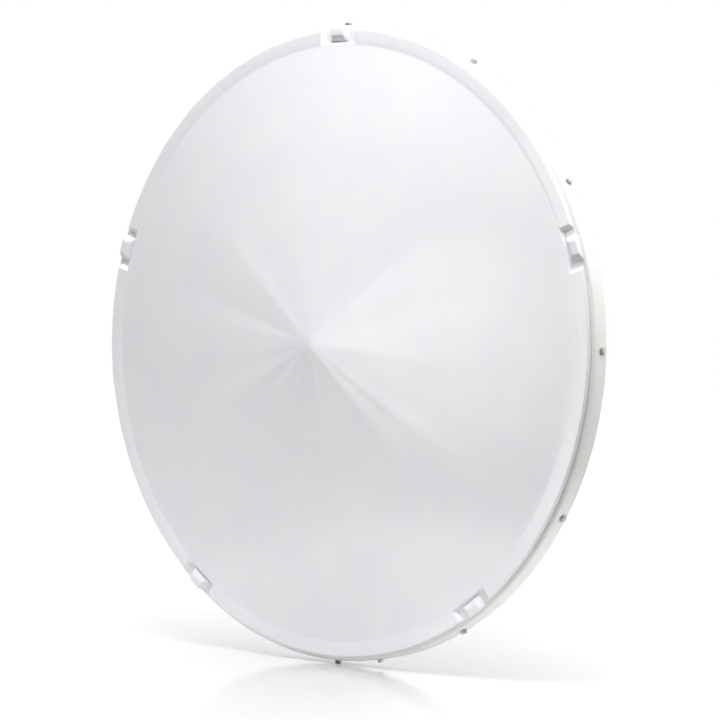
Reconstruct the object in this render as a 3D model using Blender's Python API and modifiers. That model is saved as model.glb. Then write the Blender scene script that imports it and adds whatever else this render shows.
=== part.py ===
"""Parabolic dish antenna with a conical radome, for a point-to-point radio link.

The dish is modelled face on: X to the right, Y up and Z forwards out of the dish, with the zero
of Z on the raised flat pad behind the pole bracket. One empty then turns that frame upright, so
that the finished antenna looks along -Y with +Z up. Lengths are in metres and angles in degrees.
"""

import math

import bmesh
import bpy
from mathutils import Matrix

# Clearance left between pieces that touch
GAP = 0.0003
# Reach of a cutter past the faces that it goes through
OVERCUT = 0.010
# Reach of a joined piece into the one that it joins
OVERLAP = 0.0005

# Dish and shroud
DISH_RADIUS = 0.525
DISH_STEPS = 96
RING_FACE = 0.310
SHROUD_SHEET = 0.0015
SHROUD_FRONT = RING_FACE - 0.0083
SHROUD_REAR = RING_FACE - 0.0333
SHROUD_SHOULDER = 0.0035
SHROUD_LIP_RADIUS = 0.505

# Radome
RADOME_RADIUS = 0.5175
RADOME_RING_INNER = 0.4945
RADOME_RING_BACK = RING_FACE - 0.008
RADOME_WALL = 0.003
CONE_HEIGHT = 0.063
TIP_RADIUS = 0.015
EDGE_ROUND = 0.002

# Pockets in the radome ring, and the clips that stand in them
CLIP_COUNT = 5
POCKET_FLOOR = RING_FACE - 0.0065
POCKET_FLOOR_HALF = 0.0305
POCKET_TOP_HALF = 0.0370
POCKET_INNER_RADIUS = 0.4965
POCKET_WALL_LEAN = 0.0035
CLIP_RISE = 0.003
CLIP_BASE_HALF = 0.0225
CLIP_TOP_HALF = 0.0120
CLIP_BASE_RADIUS = 0.4980
CLIP_TOP_RADIUS = 0.5080
CLIP_OUTER_RADIUS = 0.5210
CLIP_EDGE = 0.0012
CLIP_FOOT_INSET = 0.003
CLIP_FOOT_OUTER = CLIP_OUTER_RADIUS - CLIP_EDGE - GAP

# Reflector
SHEET = 0.002
BOWL_RADIUS = 0.511
BOWL_DEPTH = 0.170
BOWL_CHORDS = 6
REFLECTOR_LIP_FRONT = RING_FACE - 0.018
FOCAL_LENGTH = BOWL_RADIUS ** 2 / (4 * BOWL_DEPTH)
BOWL_VERTEX = SHROUD_REAR + SHEET - BOWL_DEPTH

# Bolts round the shroud, near its rear edge
RIM_BOLT_COUNT = 12
SEAM_BOLT_ANGLE = 280.0
RIM_BOLT_LEVEL = RING_FACE - 0.0263
RIM_BOLT_SHANK = 0.0029
RIM_BOLT_HOLE = 0.0032
RIM_BOLT_WASHER = 0.0065
WASHER_THICKNESS = 0.0010
RIM_BOLT_FLATS = 0.010
RIM_BOLT_HEAD = 0.0040
RIM_BOLT_INNER_END = 0.516
RIM_BOLT_SIDES = 10
WASHER_SIDES = 12

# Hub pan behind the reflector and the feed that passes through it
FEED_HOLE = 0.032
FEED_RADIUS = 0.030
FEED_FLANGE_RADIUS = 0.046
FEED_FLANGE = 0.006
FEED_REAR = 0.066
FEED_NECK_RADIUS = 0.024
FEED_NECK_FRONT = 0.078
PAN_REAR = 0.101
PAN_SHEET = 0.003
PAN_FLAT_RADIUS = 0.126
PAN_WALL_RADIUS = 0.137
PAN_RADIUS = 0.150
PAN_STEPS = 64
FEED_STEPS = 32
PORT_STEPS = 16
PORT_OFFSET = 0.013
PORT_RADIUS = 0.0095
PORT_THREAD_RADIUS = 0.0078
PORT_COLLAR = 0.006
PORT_LENGTH = 0.018

# Bracket bolted to the hub pan
DISH_BRACKET_HALF_WIDTH = 0.048
DISH_BRACKET_SHEET = 0.004
DISH_BRACKET_HALF_HEIGHT = 0.110
DISH_BRACKET_REAR = 0.035
BEND_RADIUS = 0.006

# Bracket clamped to the mast
FACE_HALF_WIDTH = 0.085
FACE_HALF_HEIGHT = 0.118
PAD_HEIGHT = 0.002
PAD_HALF_WIDTH = 0.055
PAD_HALF_HEIGHT = 0.058
FACE_REAR = PAD_HEIGHT
FACE_PLATE = 0.006
FACE_FRONT = FACE_REAR + FACE_PLATE
CHEEK = 0.005
CHEEK_OFFSET = DISH_BRACKET_HALF_WIDTH + 0.0005
CHEEK_FRONT = 0.094
CHEEK_FRONT_HALF_HEIGHT = 0.098
CHEEK_ROOT_HALF_HEIGHT = 0.112
CORNER = 0.010

# Pivot and lock bolts that join the two brackets
HINGE_LEVEL = 0.060
PIVOT_HEIGHT = -0.075
LOCK_HEIGHT = 0.075
HINGE_BOLT_RADIUS = 0.005
HINGE_HOLE_RADIUS = 0.0053
HINGE_BOLT_FLATS = 0.017
HINGE_BOLT_HEAD = 0.0065
HINGE_BOLT_TAIL = 0.003
BOLT_SIDES = 16
SLOT_HALF_ANGLE = 8.0

# Jaws, for a mast of 60 mm, and the long bolts that pull them together
MAST_RADIUS = 0.030
JAW_ANGLE = 30.0
JAW_FLOOR = 0.006
JAW_HEIGHT = 0.036
JAW_LEVEL = 0.085
JAW_HALF_WIDTH = 0.082
JAW_EAR = 0.008
JAW_MOUTH_HALF = 0.040
JAW_ARM = 0.005
TOOTH_PITCH = 0.005
TOOTH_DEPTH = 0.002
CLAMP_BOLT_OFFSET = 0.068
CLAMP_BOLT_RADIUS = 0.005
CLAMP_BOLT_FLATS = 0.017
CLAMP_BOLT_HEAD = 0.0065
CLAMP_NUT = 0.009
CLAMP_BOLT_TAIL = 0.014

MAST_CENTRE = FACE_REAR - JAW_FLOOR - MAST_RADIUS / math.cos(math.radians(JAW_ANGLE))


def clear_scene():
    for obj in list(bpy.data.objects):
        bpy.data.objects.remove(obj, do_unlink=True)


def new_collection(name):
    collection = bpy.data.collections.new(name)
    bpy.context.scene.collection.children.link(collection)
    return collection


def new_material(name, colour, metallic, roughness):
    material = bpy.data.materials.new(name)
    material.use_nodes = True
    shader = material.node_tree.nodes["Principled BSDF"]
    shader.inputs["Base Color"].default_value = (*colour, 1.0)
    shader.inputs["Metallic"].default_value = metallic
    shader.inputs["Roughness"].default_value = roughness
    return material


class Workshop:
    """The collections, the materials and the empty that every piece is placed by."""

    def __init__(self):
        self.parts = new_collection("dish_antenna")
        self.cutters = new_collection("dish_antenna_cutters")
        self.plastic = new_material("white_moulded_plastic", (0.86, 0.86, 0.88), 0.0, 0.35)
        self.paint = new_material("white_powder_coat", (0.80, 0.79, 0.77), 0.0, 0.40)
        self.galvanised = new_material("galvanised_steel", (0.55, 0.56, 0.57), 1.0, 0.45)
        self.stainless = new_material("stainless_steel", (0.50, 0.49, 0.47), 1.0, 0.30)
        self.nickel = new_material("nickel_plated_brass", (0.62, 0.60, 0.55), 1.0, 0.25)
        self.upright = bpy.data.objects.new("mast_face_centre", None)
        self.upright.rotation_euler = (math.radians(90), 0, 0)
        self.parts.objects.link(self.upright)

    def add(self, name, mesh, material):
        obj = bpy.data.objects.new(name, mesh)
        obj.data.materials.append(material)
        obj.parent = self.upright
        self.parts.objects.link(obj)
        return obj

    def add_cutter(self, name, mesh):
        obj = bpy.data.objects.new(name, mesh)
        obj.parent = self.upright
        obj.hide_render = True
        obj.display_type = "WIRE"
        self.cutters.objects.link(obj)
        return obj


def combine(obj, other, operation):
    modifier = obj.modifiers.new(other.name, "BOOLEAN")
    modifier.operation = operation
    modifier.solver = "EXACT"
    modifier.object = other
    return modifier


def profile_mesh(name, points, closed):
    """Edges through (radius, z) points, for a Screw modifier to turn."""
    bm = bmesh.new()
    verts = [bm.verts.new((radius, 0, z)) for radius, z in points]
    for first, second in zip(verts, verts[1:]):
        bm.edges.new((first, second))
    if closed:
        bm.edges.new((verts[-1], verts[0]))
    mesh = bpy.data.meshes.new(name)
    bm.to_mesh(mesh)
    bm.free()
    return mesh


def turn(obj, steps):
    screw = obj.modifiers.new("turn", "SCREW")
    screw.axis = "Z"
    screw.angle = math.radians(360)
    screw.steps = steps
    screw.render_steps = steps
    screw.use_merge_vertices = True
    screw.merge_threshold = 0.00005
    screw.use_smooth_shade = True
    return obj


def outline_mesh(name, outlines, depth):
    """A flat plate from closed outlines; the second and later ones are holes. It is centred on z = 0."""
    curve = bpy.data.curves.new(name, "CURVE")
    curve.dimensions = "2D"
    curve.fill_mode = "BOTH"
    curve.extrude = depth / 2
    for outline in outlines:
        spline = curve.splines.new("POLY")
        spline.points.add(len(outline) - 1)
        for point, (x, y) in zip(spline.points, outline):
            point.co = (x, y, 0, 1)
        spline.use_cyclic_u = True
    guide = bpy.data.objects.new(name, curve)
    bpy.context.scene.collection.objects.link(guide)
    bpy.context.view_layer.update()
    graph = bpy.context.evaluated_depsgraph_get()
    mesh = bpy.data.meshes.new_from_object(guide.evaluated_get(graph))
    bpy.data.objects.remove(guide, do_unlink=True)
    bm = bmesh.new()
    bm.from_mesh(mesh)
    bmesh.ops.remove_doubles(bm, verts=bm.verts, dist=0.00001)
    bmesh.ops.recalc_face_normals(bm, faces=bm.faces)
    bm.to_mesh(mesh)
    bm.free()
    mesh.name = name
    return mesh


def arc(centre, radius, start, end, count):
    """Points on an arc, both ends included, with the angles in degrees."""
    turn_by = (end - start) / count
    angles = [math.radians(start + turn_by * i) for i in range(count + 1)]
    return [(centre[0] + radius * math.cos(a), centre[1] + radius * math.sin(a)) for a in angles]


def circle(centre, radius, sides):
    return arc(centre, radius, 0, 360, sides)[:-1]


def rounded(corners, radius, count):
    """The closed outline through these corners, each rounded with a quadratic curve."""
    points = []
    for i, corner in enumerate(corners):
        before = corners[i - 1]
        after = corners[(i + 1) % len(corners)]
        ends = []
        for other in (before, after):
            reach = math.dist(corner, other)
            ends.append([c + (o - c) * radius / reach for c, o in zip(corner, other)])
        for step in range(count + 1):
            t = step / count
            points.append(tuple(
                (1 - t) ** 2 * a + 2 * t * (1 - t) * c + t ** 2 * b
                for a, c, b in zip(ends[0], corner, ends[1])
            ))
    return points


def block_mesh(name, low, high, tops=None):
    """A box between two corners. Where tops is given, it holds the low and high (x, y) of the far z face."""
    bm = bmesh.new()
    bmesh.ops.create_cube(bm, size=2)
    for vert in bm.verts:
        at_top = vert.co.z > 0
        low_xy, high_xy = tops if (tops and at_top) else (low[:2], high[:2])
        vert.co = (
            high_xy[0] if vert.co.x > 0 else low_xy[0],
            high_xy[1] if vert.co.y > 0 else low_xy[1],
            high[2] if at_top else low[2],
        )
    mesh = bpy.data.meshes.new(name)
    bm.to_mesh(mesh)
    bm.free()
    return mesh


def rod_mesh(name, pieces):
    """Separate coaxial prisms along Z in one mesh, each (radius, sides, low z, high z)."""
    bm = bmesh.new()
    for radius, sides, low, high in pieces:
        placed = Matrix.Translation((0, 0, (low + high) / 2))
        bmesh.ops.create_cone(
            bm, cap_ends=True, cap_tris=False, segments=sides,
            radius1=radius, radius2=radius, depth=high - low, matrix=placed,
        )
    mesh = bpy.data.meshes.new(name)
    bm.to_mesh(mesh)
    bm.free()
    return mesh


def hexagon_radius(across_flats):
    return across_flats / math.sqrt(3)


def place(obj, matrix):
    obj.matrix_local = matrix
    return obj


def about_axis(angle):
    """Turns a piece built at +X round the dish's axis."""
    return Matrix.Rotation(math.radians(angle), 4, "Z")


def bowl(radius, vertex):
    """Height of the reflector's paraboloid at this radius."""
    return vertex + radius ** 2 / (4 * FOCAL_LENGTH)


def cone_face(radius):
    """Height of the radome's cone at this radius."""
    slope = CONE_HEIGHT / RADOME_RING_INNER
    return RING_FACE + CONE_HEIGHT - slope * radius


def radome_profile():
    slope_angle = math.atan(CONE_HEIGHT / RADOME_RING_INNER)
    ball = TIP_RADIUS / math.sin(slope_angle)
    ball_centre = cone_face(TIP_RADIUS) - ball * math.cos(slope_angle)
    tip = []
    for i in range(3):
        lean = slope_angle * i / 3
        tip.append((ball * math.sin(lean), ball_centre + ball * math.cos(lean)))
    edge_centre = (RADOME_RADIUS - EDGE_ROUND, RING_FACE - EDGE_ROUND)
    edge = arc(edge_centre, EDGE_ROUND, 90, 0, 3)
    inner_radius = RADOME_RING_INNER - 2 * RADOME_WALL
    return [
        *tip,
        (TIP_RADIUS, cone_face(TIP_RADIUS)),
        (RADOME_RING_INNER, RING_FACE),
        *edge,
        (RADOME_RADIUS, RADOME_RING_BACK),
        (inner_radius, RADOME_RING_BACK),
        (inner_radius, cone_face(inner_radius) - RADOME_WALL),
        (0, cone_face(0) - RADOME_WALL),
    ]


def clip_angles():
    return [90 + 360 * i / CLIP_COUNT for i in range(CLIP_COUNT)]


def pocket_cutter(shop, number, angle):
    """The hollow that breaks the radome's ring: a flat floor, a leaning inner wall and sloped ends."""
    top = RING_FACE + OVERCUT
    depth = RING_FACE - POCKET_FLOOR
    growth = (top - POCKET_FLOOR) / depth
    inner_top = POCKET_INNER_RADIUS - POCKET_WALL_LEAN * growth
    half_top = POCKET_FLOOR_HALF + (POCKET_TOP_HALF - POCKET_FLOOR_HALF) * growth
    outer = RADOME_RADIUS + OVERCUT
    mesh = block_mesh(
        f"pocket_cutter_{number}",
        (POCKET_INNER_RADIUS, -POCKET_FLOOR_HALF, POCKET_FLOOR),
        (outer, POCKET_FLOOR_HALF, top),
        tops=((inner_top, -half_top), (outer, half_top)),
    )
    return place(shop.add_cutter(mesh.name, mesh), about_axis(angle))


def build_radome(shop):
    radome = shop.add("radome", profile_mesh("radome", radome_profile(), False), shop.plastic)
    turn(radome, DISH_STEPS)
    for number, angle in enumerate(clip_angles(), start=1):
        combine(radome, pocket_cutter(shop, number, angle), "DIFFERENCE")


def clip_mesh():
    """A hook whose foot stands on the shroud's shoulder and whose head fills the middle of a pocket."""
    return block_mesh(
        "radome_clip",
        (CLIP_BASE_RADIUS, -CLIP_BASE_HALF, POCKET_FLOOR + GAP),
        (CLIP_OUTER_RADIUS, CLIP_BASE_HALF, RING_FACE + CLIP_RISE),
        tops=((CLIP_TOP_RADIUS, -CLIP_TOP_HALF), (CLIP_OUTER_RADIUS, CLIP_TOP_HALF)),
    )


def foot_mesh():
    half = CLIP_BASE_HALF - CLIP_FOOT_INSET
    return block_mesh(
        "clip_foot",
        (RADOME_RADIUS + 2 * GAP, -half, SHROUD_FRONT + GAP),
        (CLIP_FOOT_OUTER, half, POCKET_FLOOR + CLIP_FOOT_INSET),
    )


def build_clips(shop):
    head = clip_mesh()
    foot = foot_mesh()
    for number, angle in enumerate(clip_angles(), start=1):
        clip = place(shop.add(f"radome_clip_{number}", head, shop.plastic), about_axis(angle))
        bevel = clip.modifiers.new("edges", "BEVEL")
        bevel.width = CLIP_EDGE
        bevel.segments = 1
        bevel.limit_method = "ANGLE"
        bevel.angle_limit = math.radians(25)
        leg = place(shop.add_cutter(f"clip_foot_{number}", foot), about_axis(angle))
        combine(clip, leg, "UNION")


def shroud_profile():
    outer = DISH_RADIUS
    inner = DISH_RADIUS - SHROUD_SHEET
    centre = (outer - SHROUD_SHOULDER, SHROUD_FRONT - SHROUD_SHOULDER)
    return [
        (SHROUD_LIP_RADIUS, SHROUD_FRONT),
        *arc(centre, SHROUD_SHOULDER, 90, 0, 3),
        (outer, SHROUD_REAR),
        (inner, SHROUD_REAR),
        *arc(centre, SHROUD_SHOULDER - SHROUD_SHEET, 0, 90, 1),
        (SHROUD_LIP_RADIUS, SHROUD_FRONT - SHROUD_SHEET),
    ]


def rim_bolt_angles():
    even = [360 * i / RIM_BOLT_COUNT for i in range(RIM_BOLT_COUNT)]
    return sorted([*even, SEAM_BOLT_ANGLE])


def rim_bolt_place(angle):
    """Puts a bolt built along +Z on the shroud, pointing outwards at this angle."""
    outwards = Matrix.Rotation(math.radians(90), 4, "Y")
    return Matrix.Translation((0, 0, RIM_BOLT_LEVEL)) @ about_axis(angle) @ outwards


def rim_hole_cutter(shop, number, angle):
    ends = (RIM_BOLT_INNER_END, DISH_RADIUS + OVERCUT)
    mesh = rod_mesh("rim_hole", [(RIM_BOLT_HOLE, RIM_BOLT_SIDES, *ends)])
    return place(shop.add_cutter(f"rim_hole_{number:02d}", mesh), rim_bolt_place(angle))


def build_shroud_and_reflector(shop):
    shroud = shop.add("shroud", profile_mesh("shroud", shroud_profile(), True), shop.paint)
    turn(shroud, DISH_STEPS)
    reflector = shop.add("reflector", profile_mesh("reflector", reflector_profile(), True), shop.paint)
    turn(reflector, DISH_STEPS)
    for number, angle in enumerate(rim_bolt_angles(), start=1):
        hole = rim_hole_cutter(shop, number, angle)
        combine(shroud, hole, "DIFFERENCE")
        combine(reflector, hole, "DIFFERENCE")


def bowl_radii():
    """Radii of the paraboloid's rings, from the feed's hole outwards, with one under each seated edge."""
    width = (BOWL_RADIUS - PAN_RADIUS) / BOWL_CHORDS
    even = [PAN_RADIUS + width * i for i in range(BOWL_CHORDS + 1)]
    return [FEED_HOLE, FEED_FLANGE_RADIUS, PAN_WALL_RADIUS, *even]


def reflector_profile():
    """A lip that lies inside the shroud, a flat flange, and the paraboloid down to the feed's hole."""
    lip_outer = DISH_RADIUS - SHROUD_SHEET - GAP
    lip_inner = lip_outer - SHEET
    flange_front = SHROUD_REAR + SHEET
    front = [(r, bowl(r, BOWL_VERTEX)) for r in bowl_radii()]
    rear = [(r, bowl(r, BOWL_VERTEX - SHEET)) for r in reversed(bowl_radii())]
    return [
        *front,
        (lip_inner, flange_front),
        (lip_inner, REFLECTOR_LIP_FRONT),
        (lip_outer, REFLECTOR_LIP_FRONT),
        (lip_outer, SHROUD_REAR),
        *rear,
    ]


def build_rim_bolts(shop):
    """Hex bolts through the shroud and the reflector's lip, each with a washer under its head."""
    seat = DISH_RADIUS + GAP
    head = seat + WASHER_THICKNESS
    shank_end = head - OVERLAP / 2
    corner_radius = hexagon_radius(RIM_BOLT_FLATS)
    shank = rod_mesh("rim_bolt", [(RIM_BOLT_SHANK, RIM_BOLT_SIDES, RIM_BOLT_INNER_END, shank_end)])
    washer = rod_mesh("rim_washer", [(RIM_BOLT_WASHER, WASHER_SIDES, seat, head)])
    hexagon = rod_mesh("rim_head", [(corner_radius, 6, head - OVERLAP, head + RIM_BOLT_HEAD)])
    for number, angle in enumerate(rim_bolt_angles(), start=1):
        where = rim_bolt_place(angle)
        bolt = place(shop.add(f"rim_bolt_{number:02d}", shank, shop.stainless), where)
        for kind, mesh in (("washer", washer), ("head", hexagon)):
            tool = place(shop.add_cutter(f"rim_bolt_{kind}_{number:02d}", mesh), where)
            combine(bolt, tool, "UNION")


def build_hub_pan(shop):
    """A pressed pan that spreads the bracket's load over the back of the reflector."""
    front = PAN_REAR + PAN_SHEET
    seat_vertex = BOWL_VERTEX - SHEET - GAP
    profile = [
        (FEED_HOLE, front),
        (PAN_FLAT_RADIUS, front),
        (PAN_WALL_RADIUS, bowl(PAN_WALL_RADIUS, seat_vertex)),
        (PAN_RADIUS, bowl(PAN_RADIUS, seat_vertex)),
        (PAN_RADIUS, bowl(PAN_RADIUS, seat_vertex) - PAN_SHEET),
        (PAN_WALL_RADIUS + PAN_SHEET, bowl(PAN_WALL_RADIUS, seat_vertex) - PAN_SHEET),
        (PAN_FLAT_RADIUS + PAN_SHEET, PAN_REAR),
        (FEED_HOLE, PAN_REAR),
    ]
    turn(shop.add("hub_pan", profile_mesh("hub_pan", profile, True), shop.paint), PAN_STEPS)


def build_feed(shop):
    """The feed's rear housing, held by its flange in front of the reflector, and its two ports."""
    flange_rear = bowl(FEED_FLANGE_RADIUS, BOWL_VERTEX) + GAP
    profile = [
        (0, flange_rear + FEED_FLANGE),
        (FEED_FLANGE_RADIUS, flange_rear + FEED_FLANGE),
        (FEED_FLANGE_RADIUS, flange_rear),
        (FEED_RADIUS, flange_rear),
        (FEED_RADIUS, FEED_NECK_FRONT),
        (FEED_NECK_RADIUS, FEED_NECK_FRONT),
        (FEED_NECK_RADIUS, FEED_REAR),
        (0, FEED_REAR),
    ]
    turn(shop.add("feed_housing", profile_mesh("feed_housing", profile, False), shop.paint), FEED_STEPS)
    top = FEED_REAR - GAP
    port_profile = [
        (0, top),
        (PORT_RADIUS, top),
        (PORT_RADIUS, top - PORT_COLLAR),
        (PORT_THREAD_RADIUS, top - PORT_COLLAR),
        (PORT_THREAD_RADIUS, top - PORT_LENGTH),
        (0, top - PORT_LENGTH),
    ]
    for side, sign in (("left", -1), ("right", 1)):
        port = shop.add(f"feed_port_{side}", profile_mesh("feed_port", port_profile, False), shop.nickel)
        turn(port, PORT_STEPS)
        port.location = (sign * PORT_OFFSET, 0, 0)


def cross_hole(shop, name, height, level):
    """A cutter for a bolt hole that runs from side to side through both cheeks."""
    reach = CHEEK_OFFSET + CHEEK + OVERCUT
    mesh = rod_mesh(name, [(HINGE_HOLE_RADIUS, BOLT_SIDES, -reach, reach)])
    turned = Matrix.Translation((0, height, level)) @ Matrix.Rotation(math.radians(90), 4, "Y")
    return place(shop.add_cutter(name, mesh), turned)


def build_dish_bracket(shop):
    """A folded channel: its web lies on the hub pan and its two cheeks point back to the mast."""
    half = DISH_BRACKET_HALF_WIDTH
    sheet = DISH_BRACKET_SHEET
    front = PAN_REAR - GAP
    outer = [
        *arc((half - BEND_RADIUS, front - BEND_RADIUS), BEND_RADIUS, 90, 0, 4),
        (half, DISH_BRACKET_REAR),
        (half - sheet, DISH_BRACKET_REAR),
        (half - sheet, front - sheet),
    ]
    section = outer + [(-x, z) for x, z in reversed(outer)]
    mesh = outline_mesh("dish_bracket", [section], 2 * DISH_BRACKET_HALF_HEIGHT)
    bracket = shop.add("dish_bracket", mesh, shop.galvanised)
    bracket.rotation_euler = (math.radians(90), 0, 0)
    reach = OVERCUT + DISH_BRACKET_SHEET
    feed = rod_mesh("bracket_feed_hole", [(FEED_HOLE, FEED_STEPS, front - reach, front + reach)])
    combine(bracket, shop.add_cutter("bracket_feed_hole", feed), "DIFFERENCE")
    for name, height in (("dish_pivot_hole", PIVOT_HEIGHT), ("dish_lock_hole", LOCK_HEIGHT)):
        combine(bracket, cross_hole(shop, name, height, HINGE_LEVEL), "DIFFERENCE")


def slot_outline():
    """The curved slot for a lock bolt, centred on the pivot, as (level, height) points."""
    pivot = (HINGE_LEVEL, PIVOT_HEIGHT)
    radius = LOCK_HEIGHT - PIVOT_HEIGHT
    low, high = 90 - SLOT_HALF_ANGLE, 90 + SLOT_HALF_ANGLE
    ends = [arc(pivot, radius, angle, angle, 1)[0] for angle in (low, high)]
    return [
        *arc(pivot, radius + HINGE_HOLE_RADIUS, low, high, 6),
        *arc(ends[1], HINGE_HOLE_RADIUS, high, high + 180, 6)[1:-1],
        *arc(pivot, radius - HINGE_HOLE_RADIUS, high, low, 6),
        *arc(ends[0], HINGE_HOLE_RADIUS, low + 180, low + 360, 6)[1:-1],
    ]


def cheek_mesh():
    """One cheek of the pole bracket, flat in its own plane as (level, height), with its two openings."""
    root = FACE_REAR + FACE_PLATE / 2
    corners = [
        (root, -CHEEK_ROOT_HALF_HEIGHT),
        (CHEEK_FRONT, -CHEEK_FRONT_HALF_HEIGHT),
        (CHEEK_FRONT, CHEEK_FRONT_HALF_HEIGHT),
        (root, CHEEK_ROOT_HALF_HEIGHT),
    ]
    front_corners = rounded(corners, CORNER, 4)[5:15]
    outline = [corners[0], *front_corners, corners[3]]
    pivot = circle((HINGE_LEVEL, PIVOT_HEIGHT), HINGE_HOLE_RADIUS, BOLT_SIDES)
    return outline_mesh("pole_bracket_cheek", [outline, pivot, slot_outline()], CHEEK)


def build_pole_bracket(shop):
    """The face plate that the mast's jaws bear on, with a raised pad behind and two slotted cheeks in front."""
    corners = [
        (-FACE_HALF_WIDTH, -FACE_HALF_HEIGHT),
        (FACE_HALF_WIDTH, -FACE_HALF_HEIGHT),
        (FACE_HALF_WIDTH, FACE_HALF_HEIGHT),
        (-FACE_HALF_WIDTH, FACE_HALF_HEIGHT),
    ]
    holes = [
        circle((x, y), CLAMP_BOLT_RADIUS + GAP, BOLT_SIDES)
        for x in (-CLAMP_BOLT_OFFSET, CLAMP_BOLT_OFFSET)
        for y in (-JAW_LEVEL, JAW_LEVEL)
    ]
    mesh = outline_mesh("pole_bracket", [rounded(corners, CORNER, 4), *holes], FACE_PLATE)
    mesh.transform(Matrix.Translation((0, 0, FACE_REAR + FACE_PLATE / 2)))
    bracket = shop.add("pole_bracket", mesh, shop.galvanised)
    slope = PAD_HEIGHT / 2
    pad = block_mesh(
        "pole_bracket_pad",
        (-PAD_HALF_WIDTH, -PAD_HALF_HEIGHT, 0),
        (PAD_HALF_WIDTH, PAD_HALF_HEIGHT, FACE_REAR + OVERLAP),
        tops=(
            (-PAD_HALF_WIDTH - slope, -PAD_HALF_HEIGHT - slope),
            (PAD_HALF_WIDTH + slope, PAD_HALF_HEIGHT + slope),
        ),
    )
    combine(bracket, shop.add_cutter(pad.name, pad), "UNION")
    cheek = cheek_mesh()
    # Level goes to Z, height to Y, and the plate's thickness to X
    upright = Matrix(((0, 0, 1, 0), (0, 1, 0, 0), (1, 0, 0, 0), (0, 0, 0, 1)))
    cheek.transform(upright)
    cheek.flip_normals()
    for side, sign in (("left", -1), ("right", 1)):
        tool = shop.add_cutter(f"pole_cheek_{side}", cheek)
        tool.location = (sign * (CHEEK_OFFSET + CHEEK / 2), 0, 0)
        combine(bracket, tool, "UNION")


def build_hinge_bolts(shop):
    """Bolts through both brackets' cheeks: two on the pivot and two that lock the slots."""
    head_start = CHEEK_OFFSET + CHEEK + GAP
    nut_end = DISH_BRACKET_HALF_WIDTH - DISH_BRACKET_SHEET - GAP
    hexagon = hexagon_radius(HINGE_BOLT_FLATS)
    inner_end = nut_end - HINGE_BOLT_HEAD - HINGE_BOLT_TAIL
    shank = rod_mesh("hinge_bolt", [(HINGE_BOLT_RADIUS, BOLT_SIDES, inner_end, head_start + OVERLAP)])
    ends = rod_mesh("hinge_bolt_ends", [
        (hexagon, 6, head_start, head_start + HINGE_BOLT_HEAD),
        (hexagon, 6, nut_end - HINGE_BOLT_HEAD, nut_end),
    ])
    for kind, height in (("pivot", PIVOT_HEIGHT), ("lock", LOCK_HEIGHT)):
        for side, angle in (("left", -90), ("right", 90)):
            outwards = Matrix.Rotation(math.radians(angle), 4, "Y")
            where = Matrix.Translation((0, height, HINGE_LEVEL)) @ outwards
            bolt = place(shop.add(f"{kind}_bolt_{side}", shank, shop.stainless), where)
            tool = place(shop.add_cutter(f"{kind}_bolt_ends_{side}", ends), where)
            combine(bolt, tool, "UNION")


def jaw_outline():
    """Half of a toothed V, in (x, distance behind the jaw's back), mirrored to the other side."""
    slope = math.tan(math.radians(JAW_ANGLE))
    mouth_top = JAW_FLOOR + JAW_MOUTH_HALF * slope
    teeth = int(JAW_MOUTH_HALF / TOOTH_PITCH)
    half = [
        (JAW_HALF_WIDTH, 0),
        (JAW_HALF_WIDTH, JAW_EAR),
        (JAW_MOUTH_HALF + 2 * JAW_ARM, JAW_EAR),
        (JAW_MOUTH_HALF + JAW_ARM, mouth_top),
    ]
    for i in range(teeth):
        x = JAW_MOUTH_HALF - i * TOOTH_PITCH
        half.append((x, JAW_FLOOR + x * slope))
        root = x - TOOTH_PITCH / 2
        half.append((root, JAW_FLOOR + root * slope - TOOTH_DEPTH))
    centre = [(0, JAW_FLOOR)]
    return half + centre + [(-x, z) for x, z in reversed(half)]


def build_jaws(shop):
    """Front jaws lie on the pole bracket's face; rear jaws close on the mast from behind."""
    behind_front = [(x, FACE_REAR - GAP - z) for x, z in jaw_outline()]
    behind_rear = [(x, 2 * MAST_CENTRE - FACE_REAR + GAP + z) for x, z in jaw_outline()]
    for where, outline in (("front", behind_front), ("rear", behind_rear)):
        mesh = outline_mesh(f"{where}_jaw", [outline], JAW_HEIGHT)
        mesh.transform(Matrix.Rotation(math.radians(90), 4, "X"))
        for level, sign in (("upper", 1), ("lower", -1)):
            jaw = shop.add(f"{where}_jaw_{level}", mesh, shop.galvanised)
            jaw.location = (0, sign * JAW_LEVEL, 0)
            for side, offset in (("left", -CLAMP_BOLT_OFFSET), ("right", CLAMP_BOLT_OFFSET)):
                reach = OVERCUT - 2 * MAST_CENTRE
                hole = rod_mesh("jaw_hole", [(CLAMP_BOLT_RADIUS + GAP, BOLT_SIDES, -reach, OVERCUT)])
                tool = shop.add_cutter(f"{where}_jaw_hole_{level}_{side}", hole)
                tool.location = (offset, sign * JAW_LEVEL, 0)
                combine(jaw, tool, "DIFFERENCE")


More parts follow.
